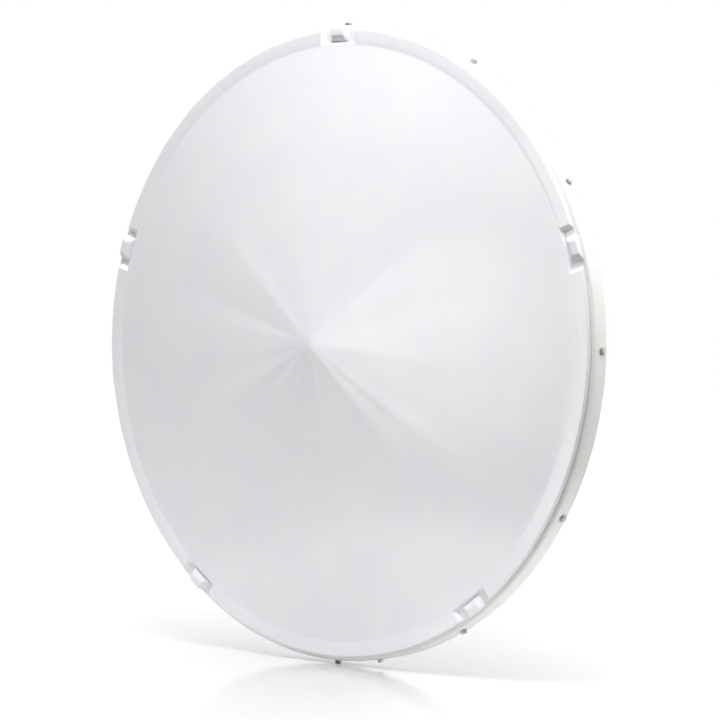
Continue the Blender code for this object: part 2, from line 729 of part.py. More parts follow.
def build_clamp_bolts(shop):
    """Four long bolts from the pole bracket's front through both jaws of a pair, with a nut behind."""
    head_start = FACE_FRONT + GAP
    nut_front = 2 * MAST_CENTRE - FACE_REAR
    hexagon = hexagon_radius(CLAMP_BOLT_FLATS)
    tail = nut_front - CLAMP_NUT - CLAMP_BOLT_TAIL
    shank = rod_mesh("clamp_bolt", [(CLAMP_BOLT_RADIUS, BOLT_SIDES, tail, head_start + OVERLAP)])
    ends = rod_mesh("clamp_bolt_ends", [
        (hexagon, 6, head_start, head_start + CLAMP_BOLT_HEAD),
        (hexagon, 6, nut_front - CLAMP_NUT, nut_front),
    ])
    for level, y in (("upper", JAW_LEVEL), ("lower", -JAW_LEVEL)):
        for side, x in (("left", -CLAMP_BOLT_OFFSET), ("right", CLAMP_BOLT_OFFSET)):
            bolt = shop.add(f"clamp_bolt_{level}_{side}", shank, shop.stainless)
            bolt.location = (x, y, 0)
            tool = shop.add_cutter(f"clamp_bolt_ends_{level}_{side}", ends)
            tool.location = (x, y, 0)
            combine(bolt, tool, "UNION")


def main():
    clear_scene()
    shop = Workshop()
    build_radome(shop)
    build_clips(shop)
    build_shroud_and_reflector(shop)
    build_rim_bolts(shop)
    build_hub_pan(shop)
    build_feed(shop)
    build_dish_bracket(shop)
    build_pole_bracket(shop)
    build_hinge_bolts(shop)
    build_jaws(shop)
    build_clamp_bolts(shop)


main()
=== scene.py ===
"""Looks, camera and light for a parabolic dish antenna under a conical radome.

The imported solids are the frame. Each piece is modelled face on, as the solids are: X to the right,
Y up and Z forwards out of the dish, with the zero of Z on the pad behind the pole bracket. It is
turned upright when it is finished, so that the antenna looks along -Y. Lengths are in metres and
angles in degrees.
"""

import logging
import math
from dataclasses import dataclass, field, replace
from enum import Enum
from typing import Any, Iterable, NamedTuple, Sequence

import bmesh
import bpy
from bmesh.types import BMEdge, BMesh, BMVert
from bpy.types import Material, NodeSocket, NodeTree, Object
from mathutils import Matrix, Vector


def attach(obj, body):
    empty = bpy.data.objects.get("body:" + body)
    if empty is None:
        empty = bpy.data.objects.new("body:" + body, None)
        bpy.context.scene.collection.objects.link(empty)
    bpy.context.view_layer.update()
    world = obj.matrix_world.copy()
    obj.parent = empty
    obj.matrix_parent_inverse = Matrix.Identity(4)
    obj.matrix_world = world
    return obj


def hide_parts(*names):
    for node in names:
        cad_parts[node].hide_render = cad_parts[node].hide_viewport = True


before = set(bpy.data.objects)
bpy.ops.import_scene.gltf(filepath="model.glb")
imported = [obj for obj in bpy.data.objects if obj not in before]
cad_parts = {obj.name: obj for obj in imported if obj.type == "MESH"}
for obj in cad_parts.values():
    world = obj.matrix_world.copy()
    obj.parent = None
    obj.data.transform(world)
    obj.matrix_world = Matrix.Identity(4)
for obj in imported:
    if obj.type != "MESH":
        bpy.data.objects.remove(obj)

LOG = logging.getLogger("dish_antenna")
WELD = 1e-6


def about(axis: str, angle: float) -> Matrix:
    """Returns a turn about an axis."""
    return Matrix.Rotation(math.radians(angle), 4, axis)


def shift(x: float, y: float, z: float) -> Matrix:
    """Returns a move."""
    return Matrix.Translation((x, y, z))


UPRIGHT = about("X", 90)
BACKWARDS = about("Y", 180)


def link_object(name: str, data: Any) -> Object:
    """Makes an object of a mesh, a lamp or a camera.

    Args:
        name: its name.
        data: its mesh, lamp or camera.

    Returns:
        The object, linked to the scene.
    """
    made = bpy.data.objects.new(name, data)
    bpy.context.scene.collection.objects.link(made)
    return made


# Finishes


def srgb(code: str) -> tuple[float, float, float, float]:
    """Turns an sRGB hex colour to a linear one.

    Args:
        code: six hex digits, such as "F2F2F4".

    Returns:
        The linear red, green and blue, with an alpha of 1.
    """
    parts = [int(code[i : i + 2], 16) / 255 for i in (0, 2, 4)]
    linear = [c / 12.92 if c <= 0.04045 else ((c + 0.055) / 1.055) ** 2.4 for c in parts]
    return (*linear, 1.0)


def add_node(
    tree: NodeTree, kind: str, settings: dict[int | str, Any] | None = None, output: int | str = 0
) -> NodeSocket:
    """Adds a node with its settings and links.

    Args:
        tree: the node tree that takes it.
        kind: the node's type without the leading ShaderNode, such as "TexNoise".
        settings: values by the name or number of an input, or by the name of a property. A value
            that is a socket is linked.
        output: name or number of the output that is wanted.

    Returns:
        That output of the new node.
    """
    node = tree.nodes.new("ShaderNode" + kind)
    for name, value in (settings or {}).items():
        if isinstance(value, NodeSocket):
            tree.links.new(value, node.inputs[name])
        elif isinstance(name, int) or name in node.inputs:
            node.inputs[name].default_value = value
        else:
            setattr(node, name, value)
    return node.outputs[output]


class Pattern(NamedTuple):
    """A pattern's tone and gloss, from 0 to 1, and its heights, each with its full depth in metres."""

    tone: NodeSocket
    gloss: NodeSocket
    heights: Sequence[tuple[NodeSocket, float]]


@dataclass(frozen=True)
class Noise:
    """Noise whose patches are about this size, with finer layers over it, and its depth as a relief."""

    size: float
    detail: float
    depth: float = 0.0

    @property
    def settings(self) -> dict[str, float]:
        """Values for the noise texture that draws it."""
        return {"Scale": 1 / self.size, "Detail": self.detail, "Roughness": 0.55}


@dataclass(frozen=True)
class Finish:
    """A surface: what it is made of, how it was made, and the pattern that this leaves on it.

    The pattern mixes the colour and the shade between two of its values, the band, and makes the
    surface rougher and smoother by the spread.
    """

    name: str
    colour: str
    shade: str
    roughness: float
    slot: str
    ior: float = 1.5
    metallic: float = 0.0
    cloud: Noise = Noise(0.09, 2.0)
    grain: Noise = Noise(0.006, 1.0, 0.00002)
    spread: float = 0.03
    band: tuple[float, float] = (0.3, 0.7)

    def pattern(self, tree: NodeTree, place: NodeSocket) -> Pattern:
        """Draws what the making leaves: a faint cloud and a fine grain.

        Args:
            tree: the material's nodes.
            place: the point's Object coordinates.

        Returns:
            The pattern.
        """
        cloud = add_node(tree, "TexNoise", {"Vector": place, **self.cloud.settings}, "Fac")
        grain = add_node(tree, "TexNoise", {"Vector": place, **self.grain.settings}, "Fac")
        return Pattern(cloud, cloud, [(grain, self.grain.depth)])

    def material(self) -> Material:
        """Makes the finish's material on its first use.

        Returns:
            The material.
        """
        if self.name in bpy.data.materials:
            return bpy.data.materials[self.name]
        material = bpy.data.materials.new(self.name)
        material.use_nodes = True
        tree = material.node_tree
        inputs = tree.nodes["Principled BSDF"].inputs
        inputs["Metallic"].default_value = self.metallic
        inputs["Roughness"].default_value = self.roughness
        if not self.metallic:
            inputs["IOR"].default_value = self.ior
        tone, gloss, heights = self.pattern(tree, add_node(tree, "TexCoord", output="Object"))
        mixed = add_node(tree, "ValToRGB", {"Fac": tone})
        stops = mixed.node.color_ramp.elements
        for stop, spot, code in zip(stops, self.band, (self.colour, self.shade)):
            stop.position = spot
            stop.color = srgb(code)
        tree.links.new(mixed, inputs["Base Color"])
        limits = {"To Min": self.roughness - self.spread, "To Max": self.roughness + self.spread}
        tree.links.new(add_node(tree, "MapRange", {"Value": gloss, **limits}), inputs["Roughness"])
        bump = {"Strength": 1.0}
        for height, depth in heights:
            bump |= {"Height": height, "Distance": depth}
            bump["Normal"] = add_node(tree, "Bump", bump)
        tree.links.new(bump["Normal"], inputs["Normal"])
        return material


@dataclass(frozen=True)
class StreakedSheet(Finish):
    """White acrylic-faced sheet, drawn over a mould: satin, with flow streaks that fan out from the tip."""

    slope: float = 0.042
    scale: float = 2.6
    rise: tuple[float, float] = (0.005, 0.055)
    fade: tuple[float, float] = (0.08, 0.42)
    seed: tuple[float, float, float] = (7.0, 3.4, 6.1)

    def pattern(self, tree: NodeTree, place: NodeSocket) -> Pattern:
        """Adds ridges along the radii. They rise beyond the tip and fade towards the rim.

        Args:
            tree: the material's nodes.
            place: the point's Object coordinates.

        Returns:
            The pattern.
        """
        plain = super().pattern(tree, place)
        flat = add_node(tree, "VectorMath", {"operation": "MULTIPLY", 0: place, 1: (1.0, 0.0, 1.0)})
        reach = add_node(tree, "VectorMath", {"operation": "LENGTH", 0: flat}, "Value")
        spoke = add_node(tree, "VectorMath", {"operation": "NORMALIZE", 0: flat})
        spoke = add_node(tree, "VectorMath", {"operation": "ADD", 0: spoke, 1: self.seed})
        shape = {"Vector": spoke, "Scale": self.scale, "Detail": 1.0, "Roughness": 0.4}
        noise = add_node(tree, "TexNoise", shape, "Fac")
        height = add_node(tree, "Math", {"operation": "SUBTRACT", 0: noise, 1: 0.5})
        height = add_node(tree, "Math", {"operation": "MULTIPLY", 0: height, 1: reach})
        for bounds, start, end in ((self.rise, 0.0, 1.0), (self.fade, 1.0, 0.0)):
            ramp = {"From Min": bounds[0], "From Max": bounds[1], "To Min": start, "To Max": end}
            ramp |= {"interpolation_type": "SMOOTHSTEP", "Value": reach}
            factor = add_node(tree, "MapRange", ramp)
            height = add_node(tree, "Math", {"operation": "MULTIPLY", 0: height, 1: factor})
        return plain._replace(heights=[*plain.heights, (height, self.slope)])


@dataclass(frozen=True)
class PowderCoat(Finish):
    """Baked polyester powder on sheet metal: semi-gloss, with a fine orange peel."""

    cloud: Noise = Noise(0.12, 2.0)
    grain: Noise = Noise(0.0022, 1.0, 0.000012)


@dataclass(frozen=True)
class SpunCoat(PowderCoat):
    """Powder coat on a spun sheet: the rings that the roller left show through the paint."""

    half_pitch: float = 0.0035
    depth: float = 0.00008

    def pattern(self, tree: NodeTree, place: NodeSocket) -> Pattern:
        """Adds concentric rings about the dish's axis, twice half_pitch apart.

        Args:
            tree: the material's nodes.
            place: the point's Object coordinates.

        Returns:
            The pattern.
        """
        plain = super().pattern(tree, place)
        upended = add_node(tree, "Mapping", {"Vector": place, "Rotation": (math.radians(90), 0, 0)})
        # The texture's own waves are 20 radians to a metre at a scale of 1.
        shape = {"Vector": upended, "Scale": 1 / (20 * self.half_pitch) * math.pi}
        shape |= {"wave_type": "RINGS", "rings_direction": "Z"}
        shape |= {"Distortion": 0.6, "Detail": 2.0, "Detail Scale": 1.5}
        rings = add_node(tree, "TexWave", shape, "Fac")
        return plain._replace(heights=[*plain.heights, (rings, self.depth)])


@dataclass(frozen=True)
class Galvanised(Finish):
    """Hot-dip zinc on steel: grey crystals of 8 to 15 mm that differ a little in tone and gloss."""

    metallic: float = 1.0
    spangle: float = 0.011
    spangle_depth: float = 0.00003
    spangle_share: float = 0.45
    wobble: tuple[float, float, float] = (0.004, 0.004, 0.004)
    wobble_scale: float = 260.0
    bloom: Noise = Noise(0.05, 4.0)
    runs: Noise = Noise(0.003, 2.0, 0.00004)
    spread: float = 0.10
    band: tuple[float, float] = (0.25, 0.75)

    def pattern(self, tree: NodeTree, place: NodeSocket) -> Pattern:
        """Draws the crystals, the milky bloom over them and the small runs of the zinc.

        Args:
            tree: the material's nodes.
            place: the point's Object coordinates.

        Returns:
            The pattern.
        """
        shape = {"Vector": place, "Scale": self.wobble_scale, "Detail": 2.0}
        wobble = add_node(tree, "TexNoise", shape, "Color")
        sums = {"operation": "MULTIPLY_ADD", 0: wobble, 1: self.wobble, 2: place}
        bent = add_node(tree, "VectorMath", sums)
        hollow = add_node(tree, "TexVoronoi", {"Vector": bent, "Scale": 1 / self.spangle}, "Distance")
        tone = add_node(tree, "SeparateColor", {"Color": hollow.node.outputs["Color"]}, "Red")
        bloom = add_node(tree, "TexNoise", {"Vector": place, **self.bloom.settings}, "Fac")
        share = self.spangle_share
        bloom = add_node(tree, "Math", {"operation": "MULTIPLY", 0: bloom, 1: 1 - share})
        mixed = add_node(tree, "Math", {"operation": "MULTIPLY_ADD", 0: tone, 1: share, 2: bloom})
        runs = add_node(tree, "TexNoise", {"Vector": place, **self.runs.settings}, "Fac")
        heights = [(hollow, self.spangle_depth), (runs, self.runs.depth)]
        return Pattern(mixed, tone.node.outputs["Green"], heights)


@dataclass(frozen=True)
class MachinedMetal(Finish):
    """Turned, rolled or plated small metal: fine marks, under faint random patches of darker tone.

    Real tool marks are about 0.1 mm wide. They are drawn at 1.2 mm, so that they show.
    """

    metallic: float = 1.0
    cloud: Noise = Noise(0.006, 3.0)
    grain: Noise = Noise(0.0012, 2.0, 0.00002)
    spread: float = 0.07


@dataclass(frozen=True)
class CastPaint(Finish):
    """Painted aluminium casting: the sand's grain shows through the paint.

    Real grains are about 0.3 mm wide. They are drawn at 1.6 mm, so that they show.
    """

    cloud: Noise = Noise(0.02, 2.0)
    grain: Noise = Noise(0.0016, 2.0, 0.00012)
    spread: float = 0.04


# A soft white satin, where the streaks of the sheet catch the light round the tip.
RADOME_SHEET = StreakedSheet(
    "acrylic_faced_sheet_moulded", "F6F6F9", "F3F3F7", 0.15, "radome_plastic", 1.49
)
# Duller than the cover beside it, with the fine grain of its mould.
CLIP_PLASTIC = Finish(
    "asa_injection_moulded", "F3F3F6", "EFEFF3", 0.42, "clip_plastic", 1.52,
    grain=Noise(0.003, 1.0, 0.00002),
)
# A warm white, half glossy and even, with a faint orange peel.
SHROUD_PAINT = PowderCoat("powder_coat_rolled_aluminium", "F4F3F0", "F0EFEB", 0.38, "shroud_paint")
# The same paint over the rings of the spinning, which bend what it mirrors.
REFLECTOR_PAINT = SpunCoat("powder_coat_spun_aluminium", "EDEDEC", "E8E8E6", 0.42, "reflector_paint")
# The same paint on a smooth pressing, a little greyer.
PAN_PAINT = PowderCoat("powder_coat_pressed_steel", "E9E9E8", "E3E3E1", 0.42, "reflector_paint")
# Cool grey, with crystals that shine each in its own way under a milky bloom.
ZINC = Galvanised("zinc_hot_dipped_steel", "B9BDC1", "8E9398", 0.44, "galvanised_steel")
# Bright but a little dull, as forged heads are.
STAINLESS = MachinedMetal(
    "stainless_steel_cold_headed", "D0CFCD", "B4B2AF", 0.30, "stainless_fastener"
)
# Light grey and matt, with a grain that can be felt.
FEED_PAINT = CastPaint("painted_aluminium_casting", "D6D7D6", "CDCECC", 0.46, "feed_casting")
# A warm, bright metal with fine turning marks.
NICKEL = MachinedMetal("nickel_plated_brass_turned", "CFC9BC", "B3AC9D", 0.24, "port_metal")
# A yellow metal, the most glossy spot on the back.
CONTACT = MachinedMetal("gold_plated_contact", "E3B75C", "C9993F", 0.22, "port_metal")
# A waxy white round the contact.
INSULATOR = CastPaint(
    "ptfe_turned", "F4F3EE", "EBEAE4", 0.5, "port_metal", 1.35, grain=Noise(0.0016, 2.0, 0.00002)
)


# Shapes


@dataclass(frozen=True)
class Corner:
    """A corner of a profile or an outline, and how far along its sides it is rounded."""

    across: float
    along: float
    rounding: float = 0.0
    steps: int = 4


class Axis(Enum):
    """The plane that a wire is drawn in: a turned profile in XZ, a flat outline in XY."""

    PROFILE = "xz"
    OUTLINE = "xy"


def parts_of(bm: BMesh) -> list[Any]:
    """Returns all of a mesh's vertices, edges and faces."""
    return [*bm.verts, *bm.edges, *bm.faces]


def moved(bm: BMesh, matrix: Matrix) -> BMesh:
    """Moves a mesh, and returns it."""
    bmesh.ops.transform(bm, matrix=matrix, verts=bm.verts)
    return bm


def draw_wire(bm: BMesh, corners: Sequence[Corner], closed: bool, plane: Axis) -> list[BMEdge]:
    """Draws edges through the corners, and rounds those that say so.

    Args:
        bm: the mesh that takes the wire.
        corners: the corners in order.
        closed: whether the last corner joins the first.
        plane: the plane to draw in.

    Returns:
        The edges of the wire.
    """
    before = set(bm.edges)
    flat = plane is Axis.OUTLINE
    spots = [(c.across, c.along, 0.0) if flat else (c.across, 0.0, c.along) for c in corners]
    verts = [bm.verts.new(spot) for spot in spots]
    for pair in zip(verts, verts[1:]):
        bm.edges.new(pair)
    if closed:
        bm.edges.new((verts[-1], verts[0]))
    for corner, vert in zip(corners, verts):
        if corner.rounding:
            bmesh.ops.bevel(
                bm, geom=[vert], offset=corner.rounding, offset_type="OFFSET",
                segments=corner.steps, profile=0.5, affect="VERTICES", material=-1,
            )
    return [edge for edge in bm.edges if edge not in before]


def cut_long(bm: BMesh, edges: Iterable[BMEdge], longest: float) -> None:
    """Cuts each edge of a wire into equal lengths.

    Args:
        bm: the mesh that holds the wire.
        edges: the edges.
        longest: the longest that an edge may stay.
    """
    for edge in list(edges):
        cuts = int(edge.calc_length() / longest)
        if cuts:
            bmesh.ops.subdivide_edges(bm, edges=[edge], cuts=cuts)


def cut_across(
    bm: BMesh, point: Sequence[float], normal: Sequence[float], parts: list[Any] | None = None
) -> None:
    """Cuts a mesh along a plane, and keeps both sides.

    Args:
        bm: the mesh.
        point: a point of the plane.
        normal: its normal.
        parts: what is cut, where it isn't the whole mesh.
    """
    bmesh.ops.bisect_plane(
        bm, geom=parts or parts_of(bm), dist=WELD, plane_co=point, plane_no=normal
    )


def sweep(bm: BMesh, arm: list[Any], angle: float, steps: int, rise: float = 0.0) -> list[Any]:
    """Turns a wire about Z by an angle.

    Args:
        bm: the mesh that holds the wire.
        arm: the wire's vertices and edges.
        angle: how far it turns.
        steps: number of steps.
        rise: how far it climbs at each step, for a thread.

    Returns:
        The wire at the end of the turn, as faces' borders.
    """
    made = bmesh.ops.spin(
        bm, geom=arm, cent=(0, 0, 0), axis=(0, 0, 1), dvec=(0, 0, rise),
        angle=math.radians(angle), steps=steps, use_merge=False,
        use_duplicate=False, use_normal_flip=False,
    )
    return made["geom_last"]


def join(target: BMesh, source: BMesh, matrix: Matrix = Matrix(), spare: bool = False) -> None:
    """Adds a copy of one mesh to another.

    Args:
        target: the mesh that grows.
        source: the mesh that is added.
        matrix: where the copy goes.
        spare: whether the source is kept for more copies, and not freed.
    """
    mesh = bpy.data.meshes.new("joining")
    source.to_mesh(mesh)
    mesh.transform(matrix)
    if matrix.determinant() < 0:
        mesh.flip_normals()
    target.from_mesh(mesh)
    bpy.data.meshes.remove(mesh)
    if not spare:
        source.free()


def repeat_round(bm: BMesh, count: int, weld: float = WELD) -> None:
    """Repeats a sector round Z, and welds the copies into one closed shape.

    Args:
        bm: the mesh, which holds one sector.
        count: number of sectors in the full turn.
        weld: how near two vertices are to become one.
    """
    sector = bm.copy()
    for i in range(1, count):
        join(bm, sector, about("Z", 360 * i / count), spare=True)
    sector.free()
    bmesh.ops.remove_doubles(bm, verts=bm.verts, dist=weld)


def turned(corners: Sequence[Corner], closed: bool, steps: int, longest: float = 1.0) -> BMesh:
    """A profile turned about Z into a closed shape.

    Args:
        corners: the profile as (radius, level) corners. An open one starts and ends on the axis.
        closed: whether the profile is a closed ring.
        steps: steps in the full turn.
        longest: the longest edge that the profile may keep.

    Returns:
        The mesh.
    """
    bm = bmesh.new()
    cut_long(bm, draw_wire(bm, corners, closed, Axis.PROFILE), longest)
    sectors = 12 if steps > 60 else 4
    sweep(bm, parts_of(bm), 360 / sectors, steps // sectors)
    repeat_round(bm, sectors)
    return bm


def round_rims(bm: BMesh, edge: float, least: float = 50.0, segments: int = 2) -> None:
    """Rounds each edge that is sharper than an angle.

    Args:
        bm: the mesh.
        edge: width of the rounding.
        least: the smallest angle between faces that is rounded.
        segments: faces across the rounding.
    """
    least = math.radians(least)
    sharp = [e for e in bm.edges if len(e.link_faces) == 2 and e.calc_face_angle(0) > least]
    bmesh.ops.bevel(
        bm, geom=sharp, offset=edge, offset_type="OFFSET", segments=segments, profile=0.5,
        affect="EDGES", clamp_overlap=True, material=-1,
    )


@dataclass(frozen=True)
class Hole:
    """A round hole in a plate, or a slot. A slot with a bend runs round a point that far below it."""

    x: float
    y: float
    radius: float
    length: float = 0.0
    bend: float = 0.0
    segments: int = 32
    longest: float = 0.004

    def draw(self, bm: BMesh) -> None:
        """Draws the hole's edge into a plate's flat outline.

        Args:
            bm: the plate's mesh.
        """
        before = set(bm.edges)
        size = {"radius": self.radius, "segments": self.segments}
        verts = bmesh.ops.create_circle(bm, cap_ends=False, **size)["verts"]
        half_step = about("Z", 180 / self.segments).to_3x3()
        bmesh.ops.rotate(bm, verts=verts, cent=(0, 0, 0), matrix=half_step)
        for vert in verts:
            vert.co.x += math.copysign(self.length / 2, vert.co.x)
        cut_long(bm, [edge for edge in bm.edges if edge not in before], self.longest)
        for vert in {v for edge in bm.edges if edge not in before for v in edge.verts}:
            if self.bend:
                reach, turn = self.bend + vert.co.y, vert.co.x / self.bend
                vert.co.x = reach * math.sin(turn)
                vert.co.y = reach * math.cos(turn) - self.bend
            vert.co.x += self.x
            vert.co.y += self.y


def mirrored(x: float, y: float) -> list[tuple[float, float]]:
    """Returns the four points at plus and minus x and y."""
    return [(side * x, end * y) for side in (-1, 1) for end in (-1, 1)]


def rectangle(half_width: float, half_height: float, rounding: float) -> list[Corner]:
    """Returns the outline of a rectangle with rounded corners."""
    signs = ((-1, -1), (1, -1), (1, 1), (-1, 1))
    return [Corner(x * half_width, y * half_height, rounding, 6) for x, y in signs]


def plate(outline: Sequence[Corner], holes: Sequence[Hole], thickness: float, edge: float) -> BMesh:
    """A flat plate from z = 0 up to its thickness, with its rims broken.

    Args:
        outline: its corners.
        holes: the holes through it.
        thickness: its thickness.
        edge: how far its rims are rounded.

    Returns:
        The mesh.
    """
    bm = bmesh.new()
    draw_wire(bm, outline, True, Axis.OUTLINE)
    for hole in holes:
        hole.draw(bm)
    bmesh.ops.triangle_fill(bm, edges=list(bm.edges), use_beauty=True)
    made = bmesh.ops.extrude_face_region(bm, geom=list(bm.faces))
    top = [item for item in made["geom"] if isinstance(item, BMVert)]
    bmesh.ops.translate(bm, verts=top, vec=(0, 0, thickness))
    bmesh.ops.recalc_face_normals(bm, faces=bm.faces)
    round_rims(bm, edge)
    return bm


class Level(NamedTuple):
    """One end of a block: its Z, from where to where it goes in X, and half its depth in Y."""

    z: float
    low: float
    high: float
    half: float


def block(lower: Level, upper: Level) -> BMesh:
    """A block between two levels, which may differ in width.

    Args:
        lower: its lower end.
        upper: its upper end.

    Returns:
        The mesh.
    """
    bm = bmesh.new()
    bmesh.ops.create_cube(bm, size=2)
    for vert in bm.verts:
        end = upper if vert.co.z > 0 else lower
        across = end.high if vert.co.x > 0 else end.low
        vert.co = (across, math.copysign(end.half, vert.co.y), end.z)
    return bm


def turn_of(point: Vector) -> float:
    """Returns a point's angle round the dish's axis, in radians from 0 to a full turn."""
    return math.atan2(point.y, point.x) % math.tau


def eased_step(value: float, soft: float) -> float:
    """Height on a ramp from 0 to 1 at a share of its length. Its ends are rounded by soft either way."""
    areas = [min(max(t, 0), 1) ** 2 / 2 + max(t - 1, 0) for t in (value + soft, value - soft)]
    return (areas[0] - areas[1]) / (2 * soft)


# Fasteners


@dataclass(frozen=True)
class Hexagon:
    """A hexagon head or nut, with the turned chamfer that leaves an arc on each flat."""

    flats: float
    height: float
    chamfered_below: bool = False
    face_share: float = 0.94
    chamfer: float = 30.0

    def build(self) -> BMesh:
        """Turns a disc, and draws it in to the flats.

        Returns:
            The hexagon, standing on z = 0.
        """
        corner = self.flats / math.sqrt(3)
        inner = self.face_share * self.flats / 2
        profile = [Corner(0, 0), Corner(inner, 0), Corner(corner, 0), Corner(corner, self.height)]
        profile += [Corner(inner, self.height), Corner(0, self.height)]
        bm = turned(profile, False, 48)
        for vert in bm.verts:
            reach = math.hypot(vert.co.x, vert.co.y)
            if reach < 1.02 * inner:
                continue
            turn = math.degrees(math.atan2(vert.co.y, vert.co.x)) % 60 - 30
            wanted = self.flats / 2 / math.cos(math.radians(turn))
            fall = (wanted - inner) * math.tan(math.radians(self.chamfer))
            vert.co.x *= wanted / reach
            vert.co.y *= wanted / reach
            if vert.co.z > self.height / 2:
                vert.co.z -= fall
            elif self.chamfered_below:
                vert.co.z += fall
        bmesh.ops.recalc_face_normals(bm, faces=bm.faces)
        return bm


@dataclass(frozen=True)
class Thread:
    """A rod or a tube with a cut thread from z = 0 up, and a chamfered end at the top."""

    radius: float
    pitch: float
    length: float
    bore: float = 0.0
    steps: int = 20
    depth_share: float = 0.58

    def build(self) -> BMesh:
        """Winds a ridge up round a core.

        Returns:
            The threaded rod.
        """
        depth = self.depth_share * self.pitch
        turns = int(self.length / self.pitch - 1)
        bm = bmesh.new()
        spots = ((depth, 0.02), (0.0, 0.42), (0.0, 0.58), (depth, 0.98))
        ridge = [Corner(self.radius - fall, share * self.pitch) for fall, share in spots]
        draw_wire(bm, ridge, True, Axis.PROFILE)
        sweep(bm, parts_of(bm), 360 * turns, self.steps * turns, self.pitch / self.steps)
        bmesh.ops.holes_fill(bm, edges=[e for e in bm.edges if e.is_boundary], sides=0)
        root = self.radius - 0.9 * depth
        core = [
            Corner(self.bore, 0),
            Corner(root, 0),
            Corner(root, self.length - depth),
            Corner(root - 0.9 * depth, self.length),
            Corner(self.bore, self.length),
        ]
        join(bm, turned(core, self.bore > 0, self.steps))
        return bm


@dataclass(frozen=True)
class HexBolt:
    """A hexagon bolt: head and washer above its seat at z = 0, shank, thread and nut below."""

    radius: float
    flats: float
    head: float
    washer_radius: float
    washer: float
    length: float
    thread: float = 0.0
    pitch: float = 0.0
    nut_at: float = 0.0
    nut: float = 0.0
    nut_turn: float = 2.3
    washer_play: float = 1.05
    washer_soft: float = 0.3
    end_round: float = 0.0003

    def build(self, turn: float = 0.0) -> BMesh:
        """Makes the bolt.

        Args:
            turn: how far its head and its nut are turned.

        Returns:
            The bolt along Z.
        """
        bore, soft = self.radius * self.washer_play, self.washer * self.washer_soft
        washer = [
            Corner(bore, 0),
            Corner(self.washer_radius, 0, soft, 2),
            Corner(self.washer_radius, self.washer, soft, 2),
            Corner(bore, self.washer, soft, 2),
        ]
        bm = turned(washer, True, 40)
        plain = self.length - self.thread
        shank = [
            Corner(0, self.washer),
            Corner(self.radius, self.washer),
            Corner(self.radius, -plain, self.end_round, 2),
            Corner(0, -plain),
        ]
        join(bm, turned(shank, False, 24))
        join(bm, Hexagon(self.flats, self.head).build(), shift(0, 0, self.washer) @ about("Z", turn))
        if self.thread:
            thread = Thread(self.radius, self.pitch, self.thread).build()
            join(bm, thread, shift(0, 0, -plain) @ about("X", 180))
        if self.nut:
            below = shift(0, 0, -self.nut_at - self.nut) @ about("Z", self.nut_turn * turn)
            join(bm, Hexagon(self.flats, self.nut, True).build(), below)
        return bm

    def row(self, spots: Iterable[Matrix], twist: float) -> BMesh:
        """Makes one mesh of several bolts.

        Args:
            spots: where they go.
            twist: how much further each is turned than the one before.

        Returns:
            The bolts.
        """
        bm = bmesh.new()
        for number, spot in enumerate(spots):
            join(bm, self.build(twist * number), spot)
        return bm


# Sub-assemblies


@dataclass
class SubAssembly:
    """What the sub-assemblies share: finished pieces are placed upright and ride on the one body."""

    pieces: list[Object] = field(default_factory=list, init=False)

    def place(
        self, name: str, bm: BMesh, finish: Finish, *stands_for: str, sharp: float = 38.0
    ) -> None:
        """Turns a mesh upright and makes it a piece of the antenna.

        Args:
            name: the piece's name.
            bm: its mesh, face on. It is freed.
            finish: its finish.
            stands_for: the CAD nodes that it replaces.
            sharp: edges over this angle are shaded sharp.
        """
        moved(bm, UPRIGHT)
        bmesh.ops.recalc_face_normals(bm, faces=bm.faces)
        mesh = bpy.data.meshes.new(name)
        bm.to_mesh(mesh)
        bm.free()
        mesh.shade_smooth()
        mesh.set_sharp_from_angle(angle=math.radians(sharp))
        mesh.materials.append(finish.material())
        piece = link_object(name, mesh)
        if stands_for:
            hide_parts(*stands_for)
        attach(piece, "root")
        self.pieces.append(piece)
        LOG.info("%s: %d faces, %s", name, len(mesh.polygons), finish.name)

    def place_bolt(self, name: str, bm: BMesh, *stands_for: str) -> None:
        """Places a piece of stainless bolts, with their flats shaded sharp."""
        self.place(name, bm, STAINLESS, *stands_for, sharp=25)


